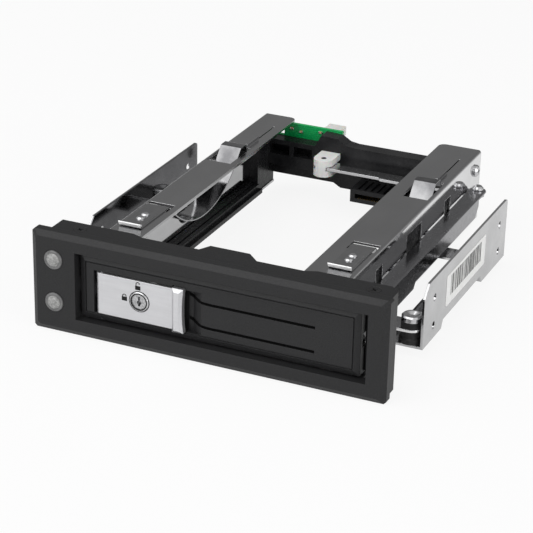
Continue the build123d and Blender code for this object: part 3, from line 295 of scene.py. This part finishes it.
def satin_nickel():
    """Bracket sheet: satin outside, and bright rolled on its inner side, with a painted dark reflection on
    the left bracket's inner face.
    """
    finish = Finish("satin_nickel", (0.5, 0.5, 0.505), 0.14, 1.0)
    finish.soft_edges(0.3)
    x, _, _ = finish.place()
    from_middle = finish.node("ShaderNodeMath", operation="ABSOLUTE")
    finish.link(x, from_middle.inputs[0])
    outside = finish.spread(from_middle.outputs["Value"], 0, 1,
                            BRACKET_HIGH.x - 0.6 * MM, BRACKET_HIGH.x - 0.3 * MM)
    on_right = finish.spread(x, 0, 1, 0, 10 * MM)
    cloud = finish.noise(55, 4)
    # Painted reflection: the left bracket's inner face is painted dark, as the dark cage wall beside it
    # would show in it
    shaded_left_inner = finish.mixed(cloud, (0.17, 0.17, 0.175), (0.24, 0.24, 0.245))
    right_inner = finish.mixed(cloud, (0.42, 0.42, 0.425), (0.54, 0.54, 0.545))
    satin = finish.mixed(cloud, (0.5, 0.5, 0.505), (0.58, 0.58, 0.585))
    finish.coloured(finish.blended(outside, finish.blended(on_right, shaded_left_inner, right_inner), satin))
    finish.link(finish.spread(outside, 0.09, 0.17, 0, 1), finish.shader.inputs["Roughness"])
    return finish.bump(finish.noise(70, 3), 0.02, 0.35).material


def bright_nickel(name, colour, roughness):
    finish = Finish(name, colour, roughness, 1.0)
    finish.soft_edges(0.2)
    finish.tint(finish.noise(400, 4), tuple(value * 0.88 for value in colour), colour)
    finish.rough(finish.noise(900, 3), roughness * 0.7, roughness * 1.4)
    return finish.bump(finish.noise(900, 2), 0.003, 0.4).material


def leaf_spring_nickel():
    """Spring strip: a painted highlight along its turned-up front lip, and painted shade on the bow and the
    rear hump.
    """
    finish = Finish("spring_nickel", (0.37, 0.37, 0.375), 0.12, 1.0)
    finish.soft_edges(0.2)
    _, y, _ = finish.place()
    lip_start, lip_end = SPRING_FRONT + 0.9 * MM, SPRING_FRONT + 1.2 * MM
    lip_highlight = finish.spread(y, 1, 0, lip_start, lip_end)
    on_bow = finish.spread(y, 0, 1, SPRING_FRONT + 70 * MM, SPRING_FRONT + 74 * MM)
    # Painted highlight: the lip is near white and less metallic; painted shade: the bow and the rear hump
    # are darker
    pad = finish.mixed(finish.noise(400, 4), (0.33, 0.33, 0.335), (0.37, 0.37, 0.375))
    shaded_bow = finish.mixed(finish.noise(90, 4), (0.15, 0.15, 0.155), (0.3, 0.3, 0.305))
    finish.coloured(finish.blended(on_bow, finish.blended(lip_highlight, pad, (0.9, 0.9, 0.9)), shaded_bow))
    finish.link(finish.spread(y, 0.25, 1, lip_start, lip_end), finish.shader.inputs["Metallic"])
    finish.rough(finish.noise(900, 3), 0.09, 0.17)
    return finish.bump(finish.noise(900, 2), 0.003, 0.4).material


def satin_silver():
    finish = Finish("satin_silver", (0.6, 0.6, 0.615), 0.36, 0.8)
    finish.soft_edges(0.22)
    strokes = finish.noise(900, 4, (0.1, 1, 1))
    finish.tint(strokes, (0.585, 0.585, 0.6), (0.62, 0.62, 0.635))
    finish.rough(strokes, 0.34, 0.4)
    return finish.bump(strokes, 0.002, 0.3).material


def black_oxide():
    finish = Finish("black_oxide", (0.03, 0.03, 0.031), 0.25, 0.8)
    finish.soft_edges(0.12)
    finish.tint(finish.noise(700), (0.022, 0.022, 0.023), (0.045, 0.045, 0.047))
    return finish.bump(finish.noise(2200), 0.006, 0.5).material


def matt_rubber():
    finish = Finish("matt_rubber", (0.014, 0.014, 0.014), 0.6)
    finish.set(Specular_IOR_Level=0.3)
    finish.soft_edges(0.3)
    finish.tint(finish.noise(250, 5), (0.01, 0.01, 0.01), (0.022, 0.022, 0.022))
    finish.rough(finish.noise(800), 0.5, 0.7)
    return finish.bump(finish.noise(1900, 4), 0.02, 0.6).material


def frosted_lens():
    finish = Finish("frosted_lens", (0.36, 0.36, 0.35), 0.2)
    finish.set(Transmission_Weight=0.25, IOR=1.49)
    finish.soft_edges(0.35)
    finish.tint(finish.noise(1100, 4), (0.24, 0.24, 0.235), (0.46, 0.46, 0.45))
    return finish.bump(finish.noise(1300, 3), 0.05, 0.6).material


def grey_trim():
    finish = Finish("grey_trim", (0.2, 0.2, 0.2), 0.3)
    finish.soft_edges(0.25)
    finish.tint(finish.noise(500), (0.1, 0.1, 0.1), (0.15, 0.15, 0.15))
    return finish.bump(finish.noise(1800), 0.01, 0.5).material


# Black for print, and also painted shade in the gaps round the lock
def ink_and_gap_shade():
    finish = Finish("ink_and_gap_shade", (0.012, 0.012, 0.013), 0.5)
    finish.set(Specular_IOR_Level=0.1)
    finish.tint(finish.noise(2500), (0.008, 0.008, 0.008), (0.02, 0.02, 0.02))
    return finish.bump(finish.noise(4000), 0.003, 0.4).material


def groove_shadow():
    """Deep shadow along the floor of a moulded line."""
    finish = Finish("groove_shadow", (0.002, 0.002, 0.002), 0.7)
    finish.set(Specular_IOR_Level=0.03)
    finish.tint(finish.noise(1800), (0.0015, 0.0015, 0.0015), (0.004, 0.004, 0.004))
    return finish.bump(finish.noise(4000), 0.003, 0.4).material


def label_paper():
    finish = Finish("label_paper", (0.8, 0.8, 0.79), 0.45)
    finish.tint(finish.noise(700, 5), (0.77, 0.77, 0.76), (0.83, 0.83, 0.82))
    return finish.bump(finish.noise(2400, 4), 0.004, 0.5).material


def lock_face():
    finish = Finish("cast_lock_face", (0.5, 0.5, 0.51), 0.24, 1.0)
    finish.soft_edges(0.25)
    pits = finish.noise(1300, 4)
    finish.tint(pits, (0.3, 0.3, 0.305), (0.62, 0.62, 0.63))
    finish.rough(pits, 0.16, 0.34)
    return finish.bump(pits, 0.06, 0.8).material


def ceramic_tan():
    finish = Finish("ceramic_tan", (0.42, 0.27, 0.14), 0.4)
    finish.tint(finish.noise(900), (0.36, 0.22, 0.11), (0.48, 0.31, 0.17))
    return finish.bump(finish.noise(2600), 0.004, 0.4).material


def gold_plate():
    finish = Finish("gold_plate", (0.8, 0.55, 0.2), 0.25, 1.0)
    finish.tint(finish.noise(800), (0.72, 0.48, 0.16), (0.86, 0.6, 0.24))
    return finish.bump(finish.noise(2400), 0.003, 0.4).material


def make_materials():
    return {
        "black_plastic": spark_textured_black(),
        "black_moulding": smooth_black_moulding(),
        "black_connector": connector_black(),
        "white_connector": white_moulding("header_white", (0.78, 0.78, 0.75), 0.35),
        "white_nylon": white_moulding("pale_nylon", (0.9, 0.9, 0.88), 0.35),
        "green_board": solder_mask_green(),
        "clear_lens": frosted_lens(),
        "grey_trim": grey_trim(),
        "silver_plate": satin_silver(),
        "polished_sheet": polished_sheet(),
        "bracket_sheet": satin_nickel(),
        "spring_steel": leaf_spring_nickel(),
        "bright_steel": bright_nickel("bright_zinc", (0.6, 0.6, 0.61), 0.2),
        "dark_steel": bright_nickel("dark_nickel", (0.3, 0.3, 0.31), 0.2),
        "black_screw": black_oxide(),
        "black_rubber": matt_rubber(),
        "ink_and_gap_shade": ink_and_gap_shade(),
        "groove_shadow": groove_shadow(),
        "label_paper": label_paper(),
        "gold_plate": gold_plate(),
        "ceramic_tan": ceramic_tan(),
        "lock_face": lock_face(),
    }


# Nodes with a finish other than the one of their slot

# The door's crank takes black oxide so that it stays dark in the gap beside the door: painted shade
OWN_FINISH = {"lock_core": "lock_face", "door_crank": "black_screw", "hinge_pin": "black_screw",
              "crank_pin": "black_screw"}


def dress_nodes(materials):
    slots = {part["node"]: part["material_slot"] for part in frame["record"]["subparts"]}
    for name, node in frame["nodes"].items():
        node.data.materials.clear()
        node.data.materials.append(materials[OWN_FINISH.get(name, slots[name])])


# New pieces

def add_piece(name, mesh_builder, material, body):
    """One new piece, shaped by mesh_builder, that rides on the body named."""
    shape = bmesh.new()
    mesh_builder(shape)
    bmesh.ops.recalc_face_normals(shape, faces=shape.faces)
    mesh = bpy.data.meshes.new(name)
    shape.to_mesh(mesh)
    shape.free()
    mesh.materials.append(material)
    piece = bpy.data.objects.new(name, mesh)
    bpy.context.collection.objects.link(piece)
    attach(piece, body)
    return piece


def add_block(shape, centre, size):
    made = bmesh.ops.create_cube(shape, size=1.0)["verts"]
    bmesh.ops.scale(shape, vec=size, verts=made)
    bmesh.ops.translate(shape, vec=centre, verts=made)
    return made


def bevelled_block(shape, low, high, radius):
    """A block between two corners, with all its edges rounded."""
    before = set(shape.edges)
    add_block(shape, (low + high) / 2, high - low)
    fresh = [edge for edge in shape.edges if edge not in before]
    bmesh.ops.bevel(shape, geom=fresh, offset=radius, affect="EDGES", segments=2, profile=0.5, material=-1)


# Printed signs and the label

def padlock_icon(shape, centre, open_shackle):
    """A small printed padlock: a solid body and half a ring above it."""
    ink = 0.03 * MM
    width, height = 2.3 * MM, 1.7 * MM
    radius, wire_width, wire_height = 0.75 * MM, 0.35 * MM, 0.3 * MM
    lift = 0.7 * MM if open_shackle else 0.25 * MM
    add_block(shape, centre, (width, ink, height))
    start = centre + Vector((-radius, 0, height / 2 + lift))
    wire = add_block(shape, start, (wire_width, ink, wire_height))
    top = [face for face in shape.faces if all(vert in wire for vert in face.verts) and face.normal.z > 0.5]
    bmesh.ops.spin(shape, geom=top, cent=start + Vector((radius, 0, 0)), axis=(0, 1, 0),
                   angle=math.pi, steps=12, use_merge=True)
    for side in (-radius,) if open_shackle else (-radius, radius):
        leg = centre + Vector((side, 0, height / 2 + lift / 2))
        add_block(shape, leg, (wire_width, ink, lift))


def add_lock_icons(materials):
    plate_front = LATCH_LOW.y + 2.0 * MM
    locked = Vector((LOCK_CENTRE.x - 6.4 * MM, plate_front, LOCK_CENTRE.z))
    unlocked = Vector((LOCK_CENTRE.x - 0.6 * MM, plate_front, LOCK_CENTRE.z + 5.6 * MM))
    for name, centre, is_open in (("locked_icon", locked, False), ("unlocked_icon", unlocked, True)):
        add_piece(name, lambda shape: padlock_icon(shape, centre, is_open), materials["ink_and_gap_shade"],
                  "handle")


def add_label(materials):
    """A plain label with upright bars of several widths, as on goods for sale."""
    face = BRACKET_HIGH.x
    low = Vector((face, BRACKET_LOW.y + 25.0 * MM, BRACKET_LOW.z + 7.6 * MM))
    size = Vector((0.12 * MM, 47.0 * MM, 13.2 * MM))
    corner_radius = 0.9 * MM
    ink, end_margin = 0.04 * MM, 5.0 * MM
    bar_height, bar_lift = size.z - 4.6 * MM, 1.0 * MM

    def sheet(shape):
        add_block(shape, low + size / 2, size)
        corners = [edge for edge in shape.edges if abs(edge.verts[0].co.x - edge.verts[1].co.x) > size.x / 2]
        bmesh.ops.bevel(shape, geom=corners, offset=corner_radius, affect="EDGES", segments=4, profile=0.5,
                        material=-1)

    def bars(shape):
        draw = random.Random(3)
        place = low.y + end_margin
        while place < low.y + size.y - end_margin:
            width = draw.choice((0.35, 0.35, 0.7, 1.0)) * MM
            centre = Vector((face + size.x, place + width / 2, low.z + size.z / 2 + bar_lift))
            add_block(shape, centre, (ink, width, bar_height))
            place += width + draw.choice((0.4, 0.4, 0.8)) * MM

    add_piece("side_label", sheet, materials["label_paper"], "cage")
    add_piece("label_bars", bars, materials["ink_and_gap_shade"], "cage")


# Small parts of the door and the lock

def ribbon(shape, points, width, thickness, across):
    """A strip laid along points, as wide as given along the direction across and raised to its thickness."""
    half = across * width / 2
    edge_verts = [bmesh.ops.create_vert(shape, co=points[0] + side * half)["vert"][0] for side in (-1, 1)]
    edge = shape.edges.new(edge_verts)
    for before, after in zip(points, points[1:]):
        made = bmesh.ops.extrude_edge_only(shape, edges=[edge])["geom"]
        moved = [item for item in made if isinstance(item, bmesh.types.BMVert)]
        bmesh.ops.translate(shape, vec=after - before, verts=moved)
        edge = next(item for item in made if isinstance(item, bmesh.types.BMEdge)
                    and all(vert in moved for vert in item.verts))
    bmesh.ops.recalc_face_normals(shape, faces=shape.faces)
    bmesh.ops.solidify(shape, geom=shape.faces[:], thickness=thickness)


def add_groove_shadows(materials):
    """Painted shadow along the floors of the two moulded lines, which also run down the ramp of the finger
    scoop.
    """
    start, end = LATCH_HIGH.x + 0.7 * MM, LATCH_HIGH.x + 53.4 * MM
    ramp_start, ramp_end = LATCH_HIGH.x + 2.0 * MM, LATCH_HIGH.x + 7.0 * MM
    bend, bend_rise = LATCH_HIGH.x + 13.5 * MM, 1.85 * MM
    scoop_depth, groove_depth, clear_of_ramp = 2.8 * MM, 0.5 * MM, 0.06 * MM
    middle = (LATCH_LOW.z + LATCH_HIGH.z) / 2 - 0.4 * MM
    from_middle = 4.95 * MM
    width, thickness = 1.35 * MM, 0.05 * MM
    steps = 40
    for name, side in (("upper_groove_shadow", 1), ("lower_groove_shadow", -1)):
        points = []
        for step in range(steps + 1):
            x = start + (end - start) * (step / steps) ** 2
            ramp = min(1, max(0, (ramp_end - x) / (ramp_end - ramp_start)))
            depth = max(scoop_depth * ramp - clear_of_ramp, groove_depth)
            rise = bend_rise * max(0, (bend - x) / (bend - start)) ** 2.7
            points.append(Vector((x, DOOR_FRONT + depth, middle + side * from_middle + rise)))
        add_piece(name, lambda shape: ribbon(shape, points, width, thickness, Vector((0, 0, 1))),
                  materials["groove_shadow"], "door")


def add_hinge_lip(materials):
    """A fine lip along the hinge edge of the door, which closes the gap behind it to the eye."""
    door_low, door_high = (Vector(corner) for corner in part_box("door_panel"))
    low = Vector((door_high.x - 0.02 * MM, door_high.y - 2.6 * MM, door_low.z + 0.5 * MM))
    high = Vector((door_high.x + 1.1 * MM, door_high.y - 1.6 * MM, door_high.z - 0.5 * MM))
    add_piece("door_hinge_lip", lambda shape: bevelled_block(shape, low, high, 0.2 * MM),
              materials["black_plastic"], "door")


def ring(shape, centre, inner, outer, front, thickness):
    """A flat ring in the door's plane, with its face at front."""
    start = Vector((centre.x + inner, front, centre.z))
    corners = [bmesh.ops.create_vert(shape, co=start + offset)["vert"][0] for offset in (
        Vector((0, 0, 0)), Vector((outer - inner, 0, 0)),
        Vector((outer - inner, thickness, 0)), Vector((0, thickness, 0)))]
    profile = [shape.edges.new((corners[index], corners[(index + 1) % 4])) for index in range(4)]
    bmesh.ops.spin(shape, geom=corners + profile, cent=Vector((centre.x, front, centre.z)), axis=(0, 1, 0),
                   angle=2 * math.pi, steps=48, use_merge=True)


def add_lock_gap_shade(materials):
    """Painted shade: dark rings laid in the gap round the lock's core and the gap round its barrel."""
    barrel_low, barrel_high = (Vector(corner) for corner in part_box("lock_barrel"))
    barrel = (barrel_high.x - barrel_low.x) / 2
    core = (LOCK_HIGH.x - LOCK_LOW.x) / 2
    places = (("core_gap_shade_ring", core - 0.1 * MM, core + 0.4 * MM, barrel_low.y - 0.03 * MM),
              ("barrel_gap_shade_ring", barrel - 0.05 * MM, barrel + 0.3 * MM, barrel_low.y + 0.42 * MM))
    for name, inner, outer, front in places:
        add_piece(name, lambda shape: ring(shape, LOCK_CENTRE, inner, outer, front, 0.06 * MM),
                  materials["ink_and_gap_shade"], "handle")


# Black panels behind the cage's openings

def add_window_backings(materials):
    """Black film on the inner face of the right wall, behind its windows."""
    # Each window's two ends from the bezel's front, and its two heights, in millimetres
    windows = ((50.5, 62.5, 19.0, 29.5), (129.5, 141.5, 19.0, 29.5), (84.9, 103.1, 12.4, 30.6))

    def films(shape):
        for y0, y1, z0, z1 in windows:
            low = Vector((WALL_INNER_FACE - 0.13 * MM, FRONT + y0 * MM, z0 * MM))
            high = Vector((WALL_INNER_FACE - 0.01 * MM, FRONT + y1 * MM, z1 * MM))
            add_block(shape, (low + high) / 2, high - low)

    add_piece("window_films", films, materials["black_moulding"], "cage")


def add_crossbar_panel(materials):
    """The crossbar's own back panel on its left half, in front of the board."""
    low = Vector((BOARD_LOW.x + 0.1 * MM, BOARD_LOW.y - 0.5 * MM, BOARD_LOW.z + 0.1 * MM))
    high = Vector((BOARD_LOW.x + 38.0 * MM, BOARD_LOW.y - 0.02 * MM, BOARD_LOW.z + 17.0 * MM))
    add_piece("crossbar_back_panel", lambda shape: bevelled_block(shape, low, high, 0.15 * MM),
              materials["black_moulding"], "cage")


# Electronics of the rear board

CONTACT_PITCH = 1.27 * MM
CONTACT_WIDTH = 0.8 * MM
CONTACT_THICKNESS = 0.08 * MM
HEADER_PITCH = 2.0 * MM
FIRST_SOCKET_PIN = 3.9 * MM


def contact_row(shape, first_x, count, centre_y, length, level):
    for index in range(count):
        centre = Vector((first_x + index * CONTACT_PITCH, centre_y, level))
        add_block(shape, centre, Vector((CONTACT_WIDTH, length, CONTACT_THICKNESS)))


def add_contacts(materials):
    for name, port, count in (("data_contacts", "data_port", 7), ("power_contacts", "power_port", 15)):
        low, high = (Vector(corner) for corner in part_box(port))
        first = (low.x + high.x) / 2 - (count - 1) / 2 * CONTACT_PITCH
        middle, level = high.y - 3.2 * MM, (low.z + high.z) / 2 + 0.63 * MM
        add_piece(name, lambda shape: contact_row(shape, first, count, middle, 4.6 * MM, level),
                  materials["gold_plate"], "cage")
    low, high = (Vector(corner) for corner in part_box("drive_socket"))
    middle, level = low.y + 2.9 * MM, low.z + 1.93 * MM
    for name, start, count in (("socket_power_contacts", FIRST_SOCKET_PIN, 15),
                               ("socket_data_contacts", 27.8 * MM, 7)):
        add_piece(name, lambda shape: contact_row(shape, low.x + start, count, middle, 5.0 * MM, level),
                  materials["gold_plate"], "cage")


def header_places():
    low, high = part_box("cable_header")
    return [(low.x + high.x) / 2 + step * HEADER_PITCH for step in (-1, 0, 1)]


def add_header_pins(materials):
    low, high = (Vector(corner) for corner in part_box("cable_header"))
    pin = Vector((0.6, 4.4, 0.6)) * MM

    def pins(shape):
        for x in header_places():
            start = Vector((x - pin.x / 2, low.y + 1.4 * MM, (low.z + high.z) / 2 - pin.z / 2))
            bevelled_block(shape, start, start + pin, 0.12 * MM)

    add_piece("header_pins", pins, materials["gold_plate"], "cage")


def chip(shape, centre, size, out):
    """A moulded chip body lying on the board, out being the way that its top faces along y."""
    low = centre - size / 2
    before = set(shape.edges)
    add_block(shape, centre, size)
    top = [edge for edge in shape.edges if edge not in before
           and all((vert.co.y - centre.y) * out > 0 for vert in edge.verts)]
    bmesh.ops.bevel(shape, geom=top, offset=0.18 * MM, affect="EDGES", segments=1, profile=0.5, material=-1)
    mark, from_corner = 0.35 * MM, 0.8 * MM
    dimple = bmesh.ops.create_cone(shape, cap_ends=True, segments=16, radius1=mark, radius2=mark,
                                   depth=0.06 * MM)["verts"]
    turn = Matrix.Rotation(math.radians(90), 4, "X")
    place = Vector((low.x + from_corner, centre.y + out * size.y / 2, low.z + from_corner))
    bmesh.ops.transform(shape, matrix=Matrix.Translation(place) @ turn, verts=dimple)


def chip_legs(shape, centre, size, out, count):
    """Legs along both long sides: a foot flat on the board, and a shin up the body's side."""
    step = size.x / (count + 1)
    board = centre.y - out * size.y / 2
    foot, shin = Vector((0.36, 0.14, 0.8)) * MM, Vector((0.36, 0.6, 0.16)) * MM
    for index in range(count):
        x = centre.x - size.x / 2 + (index + 1) * step
        for side in (-1, 1):
            edge = centre.z + side * size.z / 2
            add_block(shape, Vector((x, board + out * foot.y / 2, edge + side * foot.z / 2)), foot)
            add_block(shape, Vector((x, board + out * shin.y / 2, edge)), shin)


def add_chips(materials):
    chips = (("bridge_chip", Vector((-21.0, 0, 21.0)), Vector((6.0, 1.1, 5.0)), 6),
             ("power_chip", Vector((28.0, 0, 17.0)), Vector((5.0, 1.1, 4.0)), 4))
    for name, place, size, legs in chips:
        centre = Vector((place.x * MM, BOARD_HIGH.y + size.y / 2 * MM, place.z * MM))
        add_piece(name, lambda shape: chip(shape, centre, size * MM, 1), materials["black_connector"],
                  "cage")
        add_piece(name + "_legs", lambda shape: chip_legs(shape, centre, size * MM, 1, legs),
                  materials["bright_steel"], "cage")


def add_board_capacitors(materials):
    """Tan bodies with a silver cap at both ends, in rows on the rear and a few in sight on the front."""
    body, cap = Vector((0.5, 0.35, 0.45)) * MM, Vector((0.22, 0.36, 0.48)) * MM
    cap_outset, edge_radius = 0.7 * MM, 0.08 * MM
    rear, front = (BOARD_HIGH.y, 1), (BOARD_LOW.y, -1)
    spots = [(-44.0 + 3.0 * index, 22.0, rear) for index in range(5)]
    spots += [(2.0 + 2.6 * index, 20.6, rear) for index in range(5)]
    spots += [(36.0, 20.0, rear), (36.0, 17.6, rear)]
    spots += [(-41.0, 30.6, front), (-36.5, 29.6, front), (-27.0, 30.8, front)]

    def middles(shape):
        for x, z, (face, out) in spots:
            centre = Vector((x * MM, face + out * body.y, z * MM))
            bevelled_block(shape, centre - body, centre + body, edge_radius)

    def ends(shape):
        for x, z, (face, out) in spots:
            for side in (-1, 1):
                centre = Vector((x * MM + side * cap_outset, face + out * cap.y, z * MM))
                bevelled_block(shape, centre - cap, centre + cap, edge_radius)

    add_piece("capacitor_bodies", middles, materials["ceramic_tan"], "cage")
    add_piece("capacitor_ends", ends, materials["bright_steel"], "cage")


def add_solder_joints(materials):
    """Soldered pins of the drive socket and the cable header, as low silver domes on the board."""
    lower_row, upper_row, header_row = 19.2 * MM, 20.4 * MM, 26.4 * MM
    lower_count, upper_start = 5, 19.5 * MM
    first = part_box("drive_socket")[0].x + FIRST_SOCKET_PIN
    spots = []
    for index in range(24):
        x = first + index * CONTACT_PITCH
        if index < lower_count:
            spots.append((x, lower_row))
        if x > upper_start:
            spots.append((x, upper_row))
    spots += [(x, header_row) for x in header_places()]

    def domes(shape):
        for x, z in spots:
            made = bmesh.ops.create_icosphere(shape, subdivisions=2, radius=0.42 * MM)["verts"]
            bmesh.ops.scale(shape, vec=(1, 0.7, 1), verts=made)
            bmesh.ops.translate(shape, vec=Vector((x, BOARD_HIGH.y, z)), verts=made)

    add_piece("solder_joints", domes, materials["bright_steel"], "cage")


# Floor, world and lamps

SHOWN_TO_LENS = ("Is Camera Ray", "Is Transmission Ray")
METAL_SHARE = 0.6
FLOOR_GLOW = 0.88
BACK_WALL_DIRECTION = (-0.22, 0.88, 0.42)
ROOM_LIGHT = 0.45
BACK_WALL_LIGHT = 0.26


def background_share(tree, metal_share):
    """How much of the plain white background a ray sees: all of it for the lens, part of it for metal."""
    nodes, links = tree.nodes, tree.links
    path = nodes.new("ShaderNodeLightPath")
    metal = nodes.new("ShaderNodeMath")
    metal.operation = "MULTIPLY"
    links.new(path.outputs["Is Glossy Ray"], metal.inputs[0])
    if isinstance(metal_share, float):
        metal.inputs[1].default_value = metal_share
    else:
        links.new(metal_share, metal.inputs[1])
    share = metal.outputs["Value"]
    for kind in SHOWN_TO_LENS:
        either = nodes.new("ShaderNodeMath")
        either.operation = "MAXIMUM"
        links.new(share, either.inputs[0])
        links.new(path.outputs[kind], either.inputs[1])
        share = either.outputs["Value"]
    return share


def away_from_back_wall(tree, at_wall, elsewhere):
    """A level that drops towards the dimmer wall behind the table."""
    nodes, links = tree.nodes, tree.links
    direction = nodes.new("ShaderNodeTexCoord")
    facing = nodes.new("ShaderNodeVectorMath")
    facing.operation = "DOT_PRODUCT"
    facing.inputs[1].default_value = Vector(BACK_WALL_DIRECTION).normalized()
    links.new(direction.outputs["Generated"], facing.inputs[0])
    level = nodes.new("ShaderNodeMapRange")
    level.interpolation_type = "SMOOTHSTEP"
    level.inputs["From Min"].default_value = 0.5
    level.inputs["From Max"].default_value = 0.85
    level.inputs["To Min"].default_value = elsewhere
    level.inputs["To Max"].default_value = at_wall
    links.new(facing.outputs["Value"], level.inputs["Value"])
    return level.outputs["Result"]


def set_world():
    world = bpy.data.worlds.new("studio")
    world.use_nodes = True
    bpy.context.scene.world = world
    tree = world.node_tree
    nodes, links = tree.nodes, tree.links
    soft = nodes["Background"]
    soft.inputs["Color"].default_value = (1, 1, 1, 1)
    links.new(away_from_back_wall(tree, BACK_WALL_LIGHT, ROOM_LIGHT), soft.inputs["Strength"])
    white = nodes.new("ShaderNodeBackground")
    white.inputs["Color"].default_value = (1, 1, 1, 1)
    white.inputs["Strength"].default_value = 1.0
    mix = nodes.new("ShaderNodeMixShader")
    share = background_share(tree, away_from_back_wall(tree, 0.0, METAL_SHARE))
    links.new(share, mix.inputs["Fac"])
    links.new(soft.outputs["Background"], mix.inputs[1])
    links.new(white.outputs["Background"], mix.inputs[2])
    links.new(mix.outputs["Shader"], nodes["World Output"].inputs["Surface"])


def add_floor():
    shape = bmesh.new()
    bmesh.ops.create_grid(shape, x_segments=1, y_segments=1, size=6.0)
    mesh = bpy.data.meshes.new("floor")
    shape.to_mesh(mesh)
    shape.free()
    finish = Finish("floor_white", (0.82, 0.82, 0.82), 0.8)
    finish.tint(finish.noise(3), (0.81, 0.81, 0.81), (0.83, 0.83, 0.83))
    glow = finish.node("ShaderNodeEmission")
    share = finish.node("ShaderNodeMath", operation="MULTIPLY")
    share.inputs[1].default_value = FLOOR_GLOW
    finish.link(background_share(finish.tree, METAL_SHARE), share.inputs[0])
    mix = finish.node("ShaderNodeMixShader")
    finish.link(share.outputs["Value"], mix.inputs["Fac"])
    finish.link(finish.shader.outputs["BSDF"], mix.inputs[1])
    finish.link(glow.outputs["Emission"], mix.inputs[2])
    finish.link(mix.outputs["Shader"], finish.tree.nodes["Material Output"].inputs["Surface"])
    mesh.materials.append(finish.material)
    floor = bpy.data.objects.new("floor", mesh)
    floor.location.z = -0.1 * MM
    bpy.context.collection.objects.link(floor)


def add_lamp(name, place, aim, size, power):
    data = bpy.data.lights.new(name, "AREA")
    data.shape = "RECTANGLE"
    data.size, data.size_y = size
    data.energy = power
    lamp = bpy.data.objects.new(name, data)
    direction = Vector(aim) - Vector(place)
    lamp.location = place
    lamp.rotation_euler = direction.to_track_quat("-Z", "Y").to_euler()
    bpy.context.collection.objects.link(lamp)


def add_lamps():
    aim = (0, 0, 0.02)
    add_lamp("top_softbox", (-0.45, -0.55, 1.15), aim, (1.6, 1.2), 9)
    add_lamp("front_left_softbox", (-0.8, -1.4, 0.6), aim, (1.7, 1.2), 10)
    add_lamp("right_softbox", (1.3, -0.4, 0.5), aim, (1.0, 1.2), 10)


set_camera()
finishes = make_materials()
dress_nodes(finishes)
add_lock_icons(finishes)
add_label(finishes)
add_groove_shadows(finishes)
add_hinge_lip(finishes)
add_lock_gap_shade(finishes)
add_window_backings(finishes)
add_crossbar_panel(finishes)
add_contacts(finishes)
add_header_pins(finishes)
add_chips(finishes)
add_board_capacitors(finishes)
add_solder_joints(finishes)
set_world()
add_floor()
add_lamps()
bpy.context.scene.view_settings.view_transform = "Standard"
